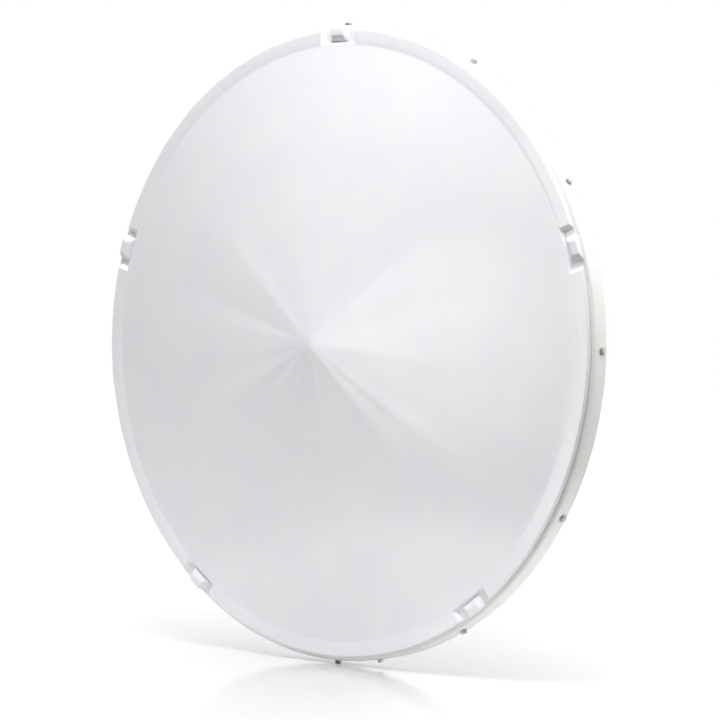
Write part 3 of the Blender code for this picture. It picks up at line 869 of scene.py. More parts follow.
@dataclass
class Radome(SubAssembly):
    """The conical cover: a low cone that runs out into a flat ring with five pockets."""

    radius: float = 0.5175
    face: float = 0.310
    back: float = 0.302
    wall: float = 0.003
    ring_inner: float = 0.4945
    crease: float = 0.4930
    crease_round: float = 0.0024
    crown: float = 0.0001
    rise: float = 0.0006
    rise_reach: float = 0.004
    cone_height: float = 0.063
    tip_radius: float = 0.017
    tip_share: float = 0.98
    edge_round: float = 0.0014
    back_round: float = 0.0005
    pockets: int = 5
    pocket_depth: float = 0.0065
    pocket_floor_half: float = 0.0305
    pocket_top_half: float = 0.0370
    pocket_wall_top: float = 0.4946
    pocket_wall_foot: float = 0.4974
    pocket_margin: float = 0.0005
    ramp_soft: float = 0.16
    wall_soft: float = 0.2
    wall_step: float = 0.0004
    ring_step: float = 0.002
    short_edge: float = 0.03
    short_cut: float = 0.0022
    long_cut: float = 0.018
    fine_half_angle: float = 5.2
    fine_steps: int = 84
    plain_steps: int = 62
    sector_weld: float = 0.00002

    @property
    def slope(self) -> float:
        """Fall of the cone per metre of radius."""
        return self.cone_height / self.ring_inner

    def pocket_angles(self) -> list[float]:
        """Angles of the pockets' middles."""
        return [90 + 360 * i / self.pockets for i in range(self.pockets)]

    def ring_level(self, reach: float) -> float:
        """Height of the ring's face: it rises a little from the crease, then is crowned.

        Args:
            reach: the radius.

        Returns:
            The level there.
        """
        foot = self.face + self.cone_height - self.slope * self.crease
        middle = (self.crease + self.radius) / 2
        rise = self.rise * (1 - math.exp((self.crease - reach) / self.rise_reach))
        return foot + rise + self.crown * (1 - ((reach - middle) / (self.radius - middle)) ** 2)

    def profile(self) -> list[Corner]:
        """The cover's cross-section, from the tip over the outside and back to the axis.

        Returns:
            Its corners.
        """
        peak = self.face + self.cone_height
        lean = math.atan(self.slope)
        ball = self.tip_radius / math.sin(lean)
        tip_level = peak - ball * (1 / math.cos(lean) - 1) - WELD
        tangent = (peak - tip_level) / self.slope
        wall_spots = [self.pocket_wall_top + self.wall_step * i for i in range(2, 9)]
        ring_spots = [self.radius - self.ring_step * i for i in (9, 8, 7, 6, 4, 2)]
        inner = self.ring_inner - 2 * self.wall
        return [
            Corner(0, tip_level),
            Corner(tangent, tip_level, tangent * self.tip_share, 8),
            Corner(self.crease, peak - self.slope * self.crease, self.crease_round, 5),
            *[Corner(spot, self.ring_level(spot)) for spot in wall_spots + ring_spots],
            Corner(self.radius, self.ring_level(self.radius), self.edge_round, 6),
            Corner(self.radius, self.back, self.back_round, 2),
            Corner(inner, self.back),
            Corner(inner, peak - self.slope * inner - self.wall),
            Corner(0, peak - self.wall),
        ]

    def sink_pockets(self, bm: BMesh) -> None:
        """Lowers the ring inside each pocket: sloped ends, a leaning inner wall and a flat floor.

        Args:
            bm: the cover's mesh.
        """
        ramp = self.pocket_top_half - self.pocket_floor_half
        wall = self.pocket_wall_foot - self.pocket_wall_top
        for vert in bm.verts:
            reach = math.hypot(vert.co.x, vert.co.y)
            if reach < self.pocket_wall_top - self.pocket_margin or vert.co.z < self.back + WELD:
                continue
            angle = math.degrees(math.atan2(vert.co.y, vert.co.x))
            away = min(abs((angle - middle + 180) % 360 - 180) for middle in self.pocket_angles())
            if away > 2 * self.fine_half_angle:
                continue
            aside = reach * math.sin(math.radians(away))
            share = eased_step((self.pocket_top_half - aside) / ramp, self.ramp_soft)
            share *= eased_step((reach - self.pocket_wall_top) / wall, self.wall_soft)
            share *= (vert.co.z - self.back) / (self.face - self.back)
            vert.co.z -= self.pocket_depth * share

    def build(self) -> BMesh:
        """Turns the profile, with fine steps at each pocket, and sinks the pockets.

        Returns:
            The cover.
        """
        bm = bmesh.new()
        edges = draw_wire(bm, self.profile(), False, Axis.PROFILE)
        cut_long(bm, [e for e in edges if e.calc_length() < self.short_edge], self.short_cut)
        cut_long(bm, [e for e in bm.edges if e.calc_length() >= self.short_edge], self.long_cut)
        moved(bm, about("Z", self.pocket_angles()[0] - self.fine_half_angle))
        fine = 2 * self.fine_half_angle
        arm = sweep(bm, parts_of(bm), fine, self.fine_steps)
        sweep(bm, arm, 360 / self.pockets - fine, self.plain_steps)
        repeat_round(bm, self.pockets, self.sector_weld)
        self.sink_pockets(bm)
        return bm

    def dress(self) -> None:
        """Places the cover."""
        self.place("radome_cover", self.build(), RADOME_SHEET, "radome", sharp=50)


@dataclass
class Clips(SubAssembly):
    """The five moulded clips that stand in the pockets and hold the cover on the shroud."""

    angles: Sequence[float] = ()
    outer_radius: float = 0.5210
    base: Level = Level(0.3038, 0.4990, 0.5210, 0.0225)
    crest: Level = Level(0.313, 0.5080, 0.5210, 0.0120)
    edge: float = 0.0016
    belly: float = 0.0010
    foot: Level = Level(0.302, 0.5181, 0.5196, 0.0195)
    foot_overlap: float = 0.003
    foot_edge: float = 0.0003
    slices: int = 5
    slice_width: float = 0.0038

    def build(self) -> BMesh:
        """Makes the wedge, with X as its radius and Y along the ring, and bends it round the ring.

        Its inner face bellies out a little, and a leg reaches down past the ring's edge to the
        shroud's shoulder.

        Returns:
            One clip at +X.
        """
        bm = block(self.base, self.crest)
        middle = (self.base.z + self.crest.z) / 2
        cut_across(bm, (0, 0, middle), (0, 0, 1))
        for vert in bm.verts:
            if abs(vert.co.z - middle) < WELD and vert.co.x < self.crest.low:
                vert.co.x -= self.belly
        round_rims(bm, self.edge, 20, 4)
        leg = block(self.foot, self.foot._replace(z=self.base.z + self.foot_overlap))
        round_rims(leg, self.foot_edge)
        join(bm, leg)
        for i in range(-self.slices, self.slices + 1):
            cut_across(bm, (0, self.slice_width * i, 0), (0, 1, 0))
        for vert in bm.verts:
            reach, turn = vert.co.x, vert.co.y / self.outer_radius
            vert.co.x = reach * math.cos(turn)
            vert.co.y = reach * math.sin(turn)
        return bm

    def dress(self) -> None:
        """Places a clip in each pocket."""
        for number, angle in enumerate(self.angles, start=1):
            clip = moved(self.build(), about("Z", angle))
            self.place(f"clip_{number}", clip, CLIP_PLASTIC, f"radome_clip_{number}")


@dataclass
class Shroud(SubAssembly):
    """The rolled band round the rim, whose ends meet in a butt joint, and the bolts through it."""

    radius: float = 0.525
    front: float = 0.3017
    rear: float = 0.2717
    sheet: float = 0.0015
    shoulder: float = 0.0021
    lip_radius: float = 0.505
    lip_round: float = 0.0004
    bolt_level: float = 0.2837
    bolt_count: int = 12
    bolt_kind: HexBolt = HexBolt(0.0029, 0.010, 0.0040, 0.0065, 0.0010, 0.0093)
    clearance: float = 0.0003
    seam_bolt: float = 280.0
    seam_angle: float = 284.5
    seam_width: float = 0.0007
    seam_depth: float = 0.0005
    seam_skin: float = 0.0006
    seam_near: float = 0.02
    seam_slack: float = 1e-5

    def band(self) -> BMesh:
        """The band, with its front edge turned in over a rounded shoulder.

        Returns:
            The band, without its seam.
        """
        inside, behind = self.radius - self.sheet, self.front - self.sheet
        corners = [
            Corner(self.lip_radius, self.front, self.lip_round, 2),
            Corner(self.radius, self.front, self.shoulder, 6),
            Corner(self.radius, self.rear, self.lip_round, 2),
            Corner(inside, self.rear, self.lip_round, 2),
            Corner(inside, behind, self.shoulder - self.sheet, 4),
            Corner(self.lip_radius, behind, self.lip_round, 2),
        ]
        return turned(corners, True, 480)

    def bolt_angles(self) -> list[float]:
        """Angles of the bolts, in the order of their nodes."""
        even = [360 * i / self.bolt_count for i in range(self.bolt_count)]
        return sorted([*even, self.seam_bolt])

    def cut_seam(self, bm: BMesh) -> None:
        """Presses the butt joint of the band's two ends in as a fine groove.

        Args:
            bm: the band's mesh.
        """
        middle = math.radians(self.seam_angle)
        for aside in (-0.5, 0.0, 0.5):
            turn = middle + aside * self.seam_width / self.radius
            near = [f for f in bm.faces if abs(turn_of(f.calc_center_median()) - turn) < self.seam_near]
            borders = {item for f in near for item in (*f.verts, *f.edges)}
            cut_across(bm, (0, 0, 0), (-math.sin(turn), math.cos(turn), 0), [*near, *borders])
        for vert in bm.verts:
            reach = math.hypot(vert.co.x, vert.co.y)
            off = abs(turn_of(vert.co) - middle)
            if off < self.seam_slack and reach > self.radius - self.seam_skin:
                vert.co.x *= 1 - self.seam_depth / reach
                vert.co.y *= 1 - self.seam_depth / reach

    def dress(self) -> None:
        """Places the band and its bolts."""
        band = self.band()
        self.cut_seam(band)
        self.place("shroud_band", band, SHROUD_PAINT, "shroud")
        seat = about("Y", 90) @ shift(0, 0, self.radius + self.clearance)
        for number, angle in enumerate(self.bolt_angles(), start=1):
            spot = shift(0, 0, self.bolt_level) @ about("Z", angle) @ seat
            bolt = moved(self.bolt_kind.build(23 * number), spot)
            self.place_bolt(f"band_bolt_{number:02d}", bolt, f"rim_bolt_{number:02d}")


@dataclass
class Reflector(SubAssembly):
    """The spun paraboloid with its flange and lip, and the pressed pan on its back."""

    band_inner: float = 0.5235
    clearance: float = 0.0003
    sheet: float = 0.002
    bowl_radius: float = 0.511
    bowl_depth: float = 0.170
    rear: float = 0.2767
    lip_front: float = 0.292
    lip_round: float = 0.0015
    feed_hole: float = 0.032
    stations: int = 34
    pan_rear: float = 0.101
    pan_sheet: float = 0.003
    pan_flat: float = 0.126
    pan_wall: float = 0.137
    pan_radius: float = 0.150
    pan_edge: float = 0.0008
    pan_bolts: int = 8
    pan_bolt_radius: float = 0.1450
    pan_bolt: HexBolt = HexBolt(0.0024, 0.008, 0.0035, 0.0050, 0.0009, 0.0060)

    @property
    def focal(self) -> float:
        """Focal length of the paraboloid."""
        return self.bowl_radius**2 / (4 * self.bowl_depth)

    def height(self, radius: float, behind: float = 0.0) -> float:
        """Level of the paraboloid at this radius, or of a surface this far behind it."""
        return self.rear + self.sheet - self.bowl_depth - behind + radius**2 / (4 * self.focal)

    def bowl(self) -> BMesh:
        """The dish itself: both faces of the paraboloid, the flange and the lip inside the band.

        Returns:
            The dish.
        """
        span = self.bowl_radius - self.feed_hole
        radii = [self.feed_hole + span * i / self.stations for i in range(self.stations + 1)]
        outer = self.band_inner - self.clearance
        front = [Corner(r, self.height(r)) for r in radii]
        behind = [Corner(r, self.height(r, self.sheet)) for r in reversed(radii[:-1])]
        rim = [
            Corner(outer - self.sheet, self.rear + self.sheet),
            Corner(outer - self.sheet, self.lip_front),
            Corner(outer, self.lip_front),
            Corner(outer, self.rear, self.lip_round, 4),
            Corner(self.bowl_radius, self.rear, self.lip_round, 3),
        ]
        return turned([*front, *rim, *behind], True, 360)

    def pan(self) -> BMesh:
        """The pressed pan: a flat bottom, a rounded wall and a lip that lies on the dish.

        Returns:
            The pan.
        """
        seat = self.sheet + self.clearance
        lip = self.height(self.pan_radius, seat)
        foot = self.height(self.pan_wall, seat)
        corners = [
            Corner(self.feed_hole, self.pan_rear + self.pan_sheet, self.pan_edge, 2),
            Corner(self.pan_flat, self.pan_rear + self.pan_sheet, 0.003, 5),
            Corner(self.pan_wall, foot, 0.002, 4),
            Corner(self.pan_radius, lip, self.pan_edge, 2),
            Corner(self.pan_radius, lip - self.pan_sheet, self.pan_edge, 2),
            Corner(self.pan_wall + self.pan_sheet, foot - self.pan_sheet, 0.003, 4),
            Corner(self.pan_flat + self.pan_sheet, self.pan_rear, 0.005, 6),
            Corner(self.feed_hole, self.pan_rear, self.pan_edge, 2),
        ]
        return turned(corners, True, 192, 0.02)

    def dress(self) -> None:
        """Places the dish, the pan and the pan's bolts."""
        self.place("reflector_bowl", self.bowl(), REFLECTOR_PAINT, "reflector")
        self.place("mounting_pan", self.pan(), PAN_PAINT, "hub_pan")
        radius = self.pan_bolt_radius
        seat = self.height(radius, self.sheet + self.clearance + self.pan_sheet)
        lean = 180 - math.degrees(math.atan(radius / (2 * self.focal)))
        turns = [360 * (i + 0.5) / self.pan_bolts for i in range(self.pan_bolts)]
        spots = [about("Z", turn) @ shift(radius, 0, seat) @ about("Y", lean) for turn in turns]
        self.place_bolt("mounting_pan_bolts", self.pan_bolt.row(spots, 31))


@dataclass
class Feed(SubAssembly):
    """The feed's cast housing in the middle of the dish, with its two coaxial ports."""

    flange_radius: float = 0.046
    flange: float = 0.006
    flange_rear: float = 0.1115
    radius: float = 0.030
    neck_radius: float = 0.024
    neck_front: float = 0.078
    rear: float = 0.066
    edge: float = 0.0012
    screw_circle: float = 0.027
    screw: HexBolt = HexBolt(0.0012, 0.0042, 0.0018, 0.0026, 0.0004, 0.0030)
    port_offset: float = 0.013
    port_flats: float = 0.0164
    collar: float = 0.006
    port_radius: float = 0.0078
    port_length: float = 0.018
    port_bore: float = 0.0056
    port_pitch: float = 0.00106
    insert_depth: float = 0.005
    insert_gap: float = 0.0001
    contact_radius: float = 0.0016
    contact_bore: float = 0.0008
    contact_depth: float = 0.001
    clearance: float = 0.0003

    def housing(self) -> BMesh:
        """The housing: a flange in front of the dish, a barrel through it and a narrower neck.

        Returns:
            The housing.
        """
        corners = [
            Corner(0, self.flange_rear + self.flange),
            Corner(self.flange_radius, self.flange_rear + self.flange, 0.0015, 3),
            Corner(self.flange_radius, self.flange_rear, 0.0005, 2),
            Corner(self.radius, self.flange_rear),
            Corner(self.radius, self.neck_front, self.edge, 3),
            Corner(self.neck_radius, self.neck_front, self.edge, 3),
            Corner(self.neck_radius, self.rear, self.edge, 3),
            Corner(0, self.rear),
        ]
        return turned(corners, False, 96)

    def place_port(self, side: str, offset: float) -> None:
        """Places a port: its nickel shell, the white insulator in it and the gold contact.

        Args:
            side: the port's side, for the names.
            offset: its X.
        """
        spot = shift(offset, 0, self.rear - self.clearance) @ BACKWARDS
        shell = Hexagon(self.port_flats, self.collar).build()
        tube = self.port_length - self.collar
        thread = Thread(self.port_radius, self.port_pitch, tube, self.port_bore, 32).build()
        join(shell, thread, shift(0, 0, self.collar))
        self.place(f"port_{side}_shell", moved(shell, spot), NICKEL, f"feed_port_{side}", sharp=25)
        floor = self.port_length - self.insert_depth
        reach = self.port_bore - self.insert_gap
        insert = [
            Corner(0, self.collar),
            Corner(reach, self.collar),
            Corner(reach, floor, 0.0003, 2),
            Corner(0, floor),
        ]
        self.place(f"port_{side}_insulator", moved(turned(insert, False, 32), spot), INSULATOR)
        foot, tip = floor - self.contact_depth, self.port_length - self.contact_depth
        contact = [
            Corner(self.contact_bore, foot),
            Corner(self.contact_radius, foot),
            Corner(self.contact_radius, tip, 0.0003, 2),
            Corner(self.contact_bore, tip, 0.0002, 2),
        ]
        self.place(f"port_{side}_contact", moved(turned(contact, True, 20), spot), CONTACT)

    def dress(self) -> None:
        """Places the housing, the six screws that hold its neck, and the ports."""
        self.place("feed_housing_cast", self.housing(), FEED_PAINT, "feed_housing")
        seat = shift(self.screw_circle, 0, self.neck_front) @ BACKWARDS
        spots = [about("Z", 60 * i + 30) @ seat for i in range(6)]
        self.place_bolt("feed_housing_screws", self.screw.row(spots, 17))
        self.place_port("left", -self.port_offset)
        self.place_port("right", self.port_offset)


@dataclass
class DishBracket(SubAssembly):
    """The folded channel on the pan: a flat blank with its holes, folded round two bend lines."""

    half_width: float = 0.048
    half_height: float = 0.110
    front: float = 0.1007
    rear: float = 0.035
    sheet: float = 0.004
    edge: float = 0.0006
    bend_radius: float = 0.006
    bend_steps: int = 6
    feed_hole: float = 0.032
    hinge_level: float = 0.060
    hinge_height: float = 0.075
    hinge_hole: float = 0.0053
    corner: float = 0.012
    bolt: HexBolt = HexBolt(0.004, 0.013, 0.0053, 0.0080, 0.0016, 0.0090)
    bolt_spots: Sequence[tuple[float, float]] = ((0.027, 0.064), (0.0, 0.096))

    @property
    def flat_half(self) -> float:
        """Half width of the web's flat part."""
        return self.half_width - self.bend_radius

    @property
    def bend_length(self) -> float:
        """Length of sheet that a bend takes, along its middle."""
        return (self.bend_radius - self.sheet / 2) * math.pi / 2

    def blank(self) -> BMesh:
        """The flat blank, its outer face at z = 0 and its thickness behind.

        Returns:
            The blank.
        """
        half = self.flat_half + self.bend_length + self.front - self.bend_radius - self.rear
        hinge = half - (self.hinge_level - self.rear)
        holes = [Hole(0, 0, self.feed_hole)]
        holes += [Hole(x, y, self.hinge_hole) for x, y in mirrored(hinge, self.hinge_height)]
        outline = rectangle(half, self.half_height, self.corner)
        return moved(plate(outline, holes, self.sheet, self.edge), shift(0, 0, -self.sheet))

    def fold(self, bm: BMesh) -> None:
        """Folds the blank's two sides back round the bend lines.

        Args:
            bm: the blank.
        """
        for sign in (-1, 1):
            for i in range(self.bend_steps + 1):
                line = sign * (self.flat_half + self.bend_length * i / self.bend_steps)
                cut_across(bm, (line, 0, 0), (1, 0, 0))
        for vert in bm.verts:
            past = abs(vert.co.x) - self.flat_half
            if past <= 0:
                vert.co.z += self.front
                continue
            radius = self.bend_radius + vert.co.z
            turn = min(past / self.bend_length, 1) * math.pi / 2
            vert.co.x = math.copysign(self.flat_half + radius * math.sin(turn), vert.co.x)
            level = self.front - self.bend_radius + radius * math.cos(turn)
            vert.co.z = level - max(past - self.bend_length, 0)

    def dress(self) -> None:
        """Places the channel and the bolts that hold it on the pan."""
        bm = self.blank()
        self.fold(bm)
        self.place("dish_bracket_channel", bm, ZINC, "dish_bracket")
        corners = sorted({corner for spot in self.bolt_spots for corner in mirrored(*spot)})
        spots = [shift(x, y, self.front - self.sheet) @ BACKWARDS for x, y in corners]
        self.place_bolt("dish_bracket_bolts", self.bolt.row(spots, 19))


@dataclass
class PoleBracket(SubAssembly):
    """The welded bracket: a face plate with a raised pad, two slotted cheeks and the hinge bolts."""

    half_width: float = 0.085
    half_height: float = 0.118
    rear: float = 0.002
    sheet: float = 0.006
    edge: float = 0.0006
    overlap: float = 0.0005
    corner: float = 0.010
    pad_half_width: float = 0.055
    pad_half_height: float = 0.058
    pad_slope: float = 0.001
    bolt_offset: float = 0.068
    bolt_level: float = 0.085
    bolt_hole: float = 0.0053
    cheek: float = 0.005
    cheek_inner: float = 0.0485
    cheek_front: float = 0.094
    cheek_front_half: float = 0.098
    cheek_root_half: float = 0.112
    hinge_level: float = 0.060
    hinge_height: float = 0.075
    slot_half_angle: float = 8.0
    bead: float = 0.0028
    bead_pitch: float = 0.0026
    bead_short: float = 0.006
    bead_dip: float = 0.86
    hinge_bolt: HexBolt = HexBolt(
        0.005, 0.017, 0.0053, 0.0100, 0.0012, 0.0196, 0.0130, 0.0015, 0.0101, 0.0065
    )
    clearance: float = 0.0003

    @property
    def front(self) -> float:
        """Level of the plate's front face."""
        return self.rear + self.sheet

    def face(self) -> BMesh:
        """The face plate with its four holes, and the pad raised behind it.

        Returns:
            Both in one mesh.
        """
        outline = rectangle(self.half_width, self.half_height, self.corner)
        spots = mirrored(self.bolt_offset, self.bolt_level)
        holes = [Hole(x, y, self.bolt_hole) for x, y in spots]
        bm = moved(plate(outline, holes, self.sheet, self.edge), shift(0, 0, self.rear))
        width, half = self.pad_half_width, self.pad_half_height
        wide, top = width + self.pad_slope, self.rear + self.overlap
        pad = block(Level(0, -width, width, half), Level(top, -wide, wide, half + self.pad_slope))
        round_rims(pad, self.edge, 20, 3)
        join(bm, pad)
        return bm

    def cheek_plate(self) -> BMesh:
        """One cheek, flat, with its height along Y and its level along X.

        Returns:
            The cheek, with a round hole for the pivot bolt and a curved slot for the lock bolt.
        """
        root = self.front - self.overlap
        outline = [
            Corner(root, -self.cheek_root_half),
            Corner(self.cheek_front, -self.cheek_front_half, self.corner, 6),
            Corner(self.cheek_front, self.cheek_front_half, self.corner, 6),
            Corner(root, self.cheek_root_half),
        ]
        swing = 2 * self.hinge_height
        length = swing * math.radians(2 * self.slot_half_angle)
        holes = [
            Hole(self.hinge_level, -self.hinge_height, self.bolt_hole),
            Hole(self.hinge_level, self.hinge_height, self.bolt_hole, length, swing),
        ]
        return plate(outline, holes, self.cheek, self.edge)

    def weld(self, aside: float) -> BMesh:
        """A bead of weld along a cheek's foot, rippled as each drop of the arc left it.

        Args:
            aside: X of the corner that it fills.

        Returns:
            The bead.
        """
        length = 2 * self.cheek_root_half - self.bead_short
        drops = int(length / self.bead_pitch)
        corners = [Corner(0, 0)]
        for i in range(drops):
            swell = 1 + 0.05 * math.sin(1.7 * i) + 0.03 * math.sin(5.3 * i)
            corners.append(Corner(self.bead * self.bead_dip * swell, i * self.bead_pitch + 0.0002))
            corners.append(Corner(self.bead * swell, (i + 0.55) * self.bead_pitch))
        corners.append(Corner(0, drops * self.bead_pitch))
        spot = shift(aside, -length / 2, self.front) @ about("X", -90)
        return moved(turned(corners, False, 16), spot)

    def dress(self) -> None:
        """Places the bracket, its welds and the hinge bolts."""
        bm = self.face()
        cheek = self.cheek_plate()
        upended = Matrix(((0, 0, 1, 0), (0, 1, 0, 0), (1, 0, 0, 0), (0, 0, 0, 1)))
        for start in (self.cheek_inner, -self.cheek_inner - self.cheek):
            join(bm, cheek, shift(start, 0, 0) @ upended, spare=True)
        cheek.free()
        self.place("pole_bracket_welded", bm, ZINC, "pole_bracket")
        outer = self.cheek_inner + self.cheek
        welds = bmesh.new()
        for aside in (-outer, -self.cheek_inner, self.cheek_inner, outer):
            join(welds, self.weld(aside))
        self.place("pole_bracket_welds", welds, ZINC, sharp=60)
        seat = shift(0, 0, outer + self.clearance)
        for kind, height in (("pivot", -self.hinge_height), ("lock", self.hinge_height)):
            for side, angle in (("left", -90), ("right", 90)):
                spot = shift(0, height, self.hinge_level) @ about("Y", angle) @ seat
                bolt = moved(self.hinge_bolt.build(13 + angle / 7 + height * 200), spot)
                self.place_bolt(f"hinge_{kind}_{side}", bolt, f"{kind}_bolt_{side}")


@dataclass
class MastClamp(SubAssembly):
    """Four toothed jaws that close on the mast, and the long bolts that draw them together."""

    half_width: float = 0.082
    height: float = 0.036
    level: float = 0.085
    ear: float = 0.008
    angle: float = 30.0
    floor: float = 0.006
    edge: float = 0.0005
    mouth_half: float = 0.040
    arm: float = 0.005
    tooth_pitch: float = 0.005
    tooth_depth: float = 0.002
    mast_radius: float = 0.030
    face: float = 0.002
    bolt_offset: float = 0.068
    bolt_seat: float = 0.0083
    bolt_end: float = 0.014
    bolt: HexBolt = HexBolt(
        0.005, 0.017, 0.0053, 0.0100, 0.0012, length=0.0, thread=0.062, pitch=0.0015, nut=0.009
    )
    clearance: float = 0.0003

    @property
    def mast_centre(self) -> float:
        """Level of the mast's axis, behind the face."""
        return self.face - self.floor - self.mast_radius / math.cos(math.radians(self.angle))

    def outline(self) -> list[Corner]:
        """A jaw's outline as (x, distance from its flat back).

        Returns:
            Its corners.
        """
        slope = math.tan(math.radians(self.angle))
        half = [
            Corner(self.half_width, 0, 0.0015, 3),
            Corner(self.half_width, self.ear, 0.0025, 4),
            Corner(self.mouth_half + 2 * self.arm, self.ear, 0.003, 4),
            Corner(self.mouth_half + self.arm, self.floor + self.mouth_half * slope, 0.0012, 3),
        ]
        for i in range(int(self.mouth_half / self.tooth_pitch)):
            tip = self.mouth_half - i * self.tooth_pitch
            root = tip - self.tooth_pitch / 2
            half.append(Corner(tip, self.floor + tip * slope, 0.0003, 2))
            half.append(Corner(root, self.floor + root * slope - self.tooth_depth, 0.0005, 2))
        other = [Corner(-c.across, c.along, c.rounding, c.steps) for c in reversed(half)]
        return [*half, Corner(0, self.floor), *other]

    def dress(self) -> None:
        """Places the jaws and their bolts. A jaw is made with its mouth up and its height along Y."""
        flat = plate(self.outline(), [], self.height, self.edge)
        jaw = moved(flat, about("X", 90) @ shift(0, 0, -self.height / 2))
        nut_at = self.bolt_seat - 2 * self.mast_centre + self.face
        length = nut_at + self.bolt.nut + self.bolt_end - WELD
        bolt = replace(self.bolt, length=length, nut_at=nut_at)
        front_seat = self.face - self.clearance
        rear_seat = 2 * self.mast_centre - self.face + self.clearance
        for where, seat, turn in (("front", front_seat, BACKWARDS), ("rear", rear_seat, Matrix())):
            for half, sign in (("upper", 1), ("lower", -1)):
                spot = shift(0, sign * self.level, seat) @ turn
                copy = moved(jaw.copy(), spot)
                self.place(f"clamp_{where}_{half}", copy, ZINC, f"{where}_jaw_{half}")
        jaw.free()
        for half, sign in (("upper", 1), ("lower", -1)):
            for side, aside in (("left", -1), ("right", 1)):
                spot = shift(aside * self.bolt_offset, sign * self.level, self.bolt_seat)
                bm = moved(bolt.build(11 + 9 * sign + 4 * aside), spot)
                self.place_bolt(f"clamp_{half}_{side}", bm, f"clamp_bolt_{half}_{side}")


# Studio


@dataclass
class Floor:
    """A plain pale floor, squared to the camera. It ends just below the picture.

    The rows are its front edge, a bend and its far edge: half the width there and how far behind
    the antenna. It glows faintly, more so away from the antenna, where the photograph's floor
    meets the sky unseen.
    """

    foot: tuple[float, float, float] = (0.0, -0.31, -0.5303)
    turn: float = 40.27
    rows: Sequence[tuple[float, float]] = ((0.85, -0.70), (0.85, 0.5), (6.0, 14.0))
    colour: str = "D1D1D1"
    roughness: float = 0.12
    glow_near: float = 0.015
    glow_far: float = 0.40
    glow_reach: tuple[float, float] = (0.12, 1.6)
    glow_stretch: tuple[float, float, float] = (1.0, 2.5, 1.0)

    def paint(self) -> Material:
        """Makes the floor's paint.

        Returns:
            The material.
        """
        material = bpy.data.materials.new("studio_floor_paint")
        material.use_nodes = True
        tree = material.node_tree
        inputs = tree.nodes["Principled BSDF"].inputs
        inputs["Base Color"].default_value = srgb(self.colour)
        inputs["Roughness"].default_value = self.roughness
        inputs["Emission Strength"].default_value = 1.0
        around = {"vector_type": "TEXTURE", "Vector": add_node(tree, "TexCoord", output="Object")}
        around |= {"Location": self.foot, "Rotation": (0, 0, math.radians(self.turn))}
        around |= {"Scale": self.glow_stretch}
        place = add_node(tree, "Mapping", around)
        reach = add_node(tree, "VectorMath", {"operation": "LENGTH", 0: place}, "Value")
        near, far = self.glow_reach
        glow = {"Value": reach, "From Min": near, "From Max": far}
        glow |= {"To Min": self.glow_near, "To Max": self.glow_far}
        tree.links.new(add_node(tree, "MapRange", glow), inputs["Emission Color"])
        return material

    def build(self) -> None:
        """Makes the floor."""
        bm = bmesh.new()
        bmesh.ops.create_grid(bm, x_segments=1, y_segments=2, size=1)
        for vert in bm.verts:
            half_width, vert.co.y = self.rows[round(vert.co.y) + 1]
            vert.co.x *= half_width
        moved(bm, shift(*self.foot) @ about("Z", self.turn))
        mesh = bpy.data.meshes.new("studio_floor")
        bm.to_mesh(mesh)
        bm.free()
        mesh.materials.append(self.paint())
        floor = link_object("studio_floor", mesh)


@dataclass(frozen=True)
class StudioCamera:
    """The photograph's view, found by fitting the rims, the bolts and the clips."""

    azimuth: float = 40.2725
    elevation: float = 1.1979
    roll: float = 0.9137
    distance: float = 4.7409
    focal_pixels: float = 2868.1
    frame_pixels: float = 720.0
    sensor: float = 36.0
    ring_pixel: tuple[float, float] = (333.2993, 343.4356)
    ring_centre: tuple[float, float, float] = (0.0, -0.310, 0.0)

    def build(self) -> None:
        """Makes the camera and hands it to the scene."""
        middle, per_pixel = self.frame_pixels / 2, self.distance / self.focal_pixels
        right = (middle - self.ring_pixel[0]) * per_pixel
        up = (self.ring_pixel[1] - middle) * per_pixel
        turn = about("Z", self.azimuth) @ about("X", 90 - self.elevation) @ about("Z", self.roll)
        data = bpy.data.cameras.new("studio_camera")
        data.sensor_width = self.sensor
        data.lens = self.sensor * self.focal_pixels / self.frame_pixels
        data.clip_end = 100.0
        camera = link_object("studio_camera", data)
        camera.matrix_world = shift(*self.ring_centre) @ turn @ shift(right, up, self.distance)
        bpy.context.scene.camera = camera


@dataclass(frozen=True)
class SoftBox:
    """A large soft lamp that faces a point of the antenna."""

    name: str
    spot: tuple[float, float, float]
    width: float
    power: float
    shape: str = "SQUARE"
    aim: tuple[float, float, float] = (0.0, -0.3, 0.0)

    def build(self) -> None:
        """Hangs the lamp."""
        data = bpy.data.lights.new(self.name, "AREA")
        data.shape = self.shape
        data.size = self.width
        data.energy = self.power
        lamp = link_object(self.name, data)
        lamp.location = self.spot
        away = Vector(self.spot) - Vector(self.aim)
        lamp.rotation_euler = away.to_track_quat("Z", "Y").to_euler()


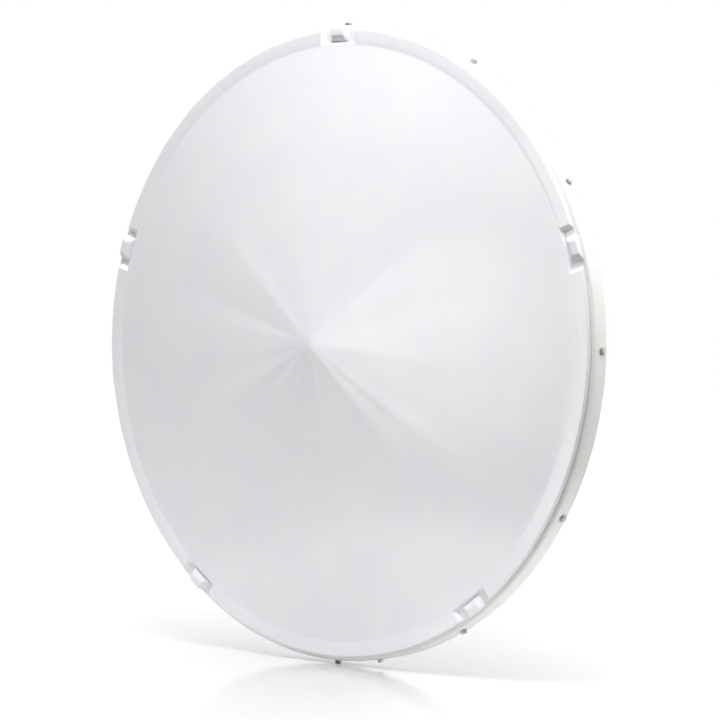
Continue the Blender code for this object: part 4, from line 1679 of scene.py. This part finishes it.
@dataclass(frozen=True)
class Studio:
    """The room's light: a pale sky behind, wide lamps overhead and smaller ones close by.

    The sky is dim in front and full behind. To the right it is changed by a share that rises from
    below the horizon to just above it.
    """

    sky: str = "FFFFFF"
    strength: tuple[float, float] = (0.092, 1.0)
    strength_span: tuple[float, float] = (-0.25, 0.25)
    right: tuple[float, float] = (0.0, 1.65)
    right_span: tuple[float, float] = (-0.35, 0.05)
    height_span: tuple[float, float] = (-0.30, 0.06)
    lamps: Sequence[SoftBox] = (
        SoftBox("top_lamp", (0.0, -2.11, 6.76), 5.0, 138.0),
        SoftBox("right_lamp", (3.0, -3.15, 5.65), 6.0, 57.0),
        SoftBox("left_lamp", (-4.35, -2.11, 5.18), 5.0, 115.0),
        SoftBox("near_lamp", (0.5, -1.1, 1.8), 1.0, 25.5),
        SoftBox("near_right_lamp", (1.2, -0.9, 1.5), 1.0, 8.2),
        SoftBox("side_lamp", (-1.25, -3.0, -0.05), 1.24, 11.4, "DISK"),
    )

    def build(self) -> None:
        """Lights the scene."""
        world = bpy.data.worlds.new("studio_air")
        world.use_nodes = True
        tree = world.node_tree
        ground = tree.nodes["Background"].inputs
        ground["Color"].default_value = srgb(self.sky)
        aim = add_node(tree, "TexCoord", output="Generated")
        x, y, z = add_node(tree, "SeparateXYZ", {"Vector": aim}).node.outputs
        spans = (
            (y, self.strength_span, self.strength),
            (x, self.right_span, (0.0, 1.0)),
            (z, self.height_span, [end - 1 for end in self.right]),
        )
        ramps = []
        for value, (low, high), (start, end) in spans:
            ramp = {"From Min": low, "From Max": high, "To Min": start, "To Max": end}
            ramps.append(add_node(tree, "MapRange", {"Value": value, **ramp}))
        strength, to_right, change = ramps
        share = add_node(tree, "Math", {"operation": "MULTIPLY_ADD", 0: to_right, 1: change, 2: 1.0})
        total = add_node(tree, "Math", {"operation": "MULTIPLY", 0: strength, 1: share})
        tree.links.new(total, ground["Strength"])
        bpy.context.scene.world = world
        bpy.context.scene.view_settings.view_transform = "Standard"
        for lamp in self.lamps:
            lamp.build()


def main() -> None:
    """Builds the antenna's sub-assemblies in order, then the studio round it."""
    logging.basicConfig(level=logging.INFO, format="%(name)s %(message)s")
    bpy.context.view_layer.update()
    radome = Radome()
    clips = Clips(angles=radome.pocket_angles())
    back = (Shroud(), Reflector(), Feed(), DishBracket(), PoleBracket(), MastClamp())
    for assembly in (radome, clips, *back):
        assembly.dress()
        LOG.info("%s done, %d pieces", type(assembly).__name__, len(assembly.pieces))
    Floor().build()
    Studio().build()
    StudioCamera().build()


if __name__ == "__main__":
    main()
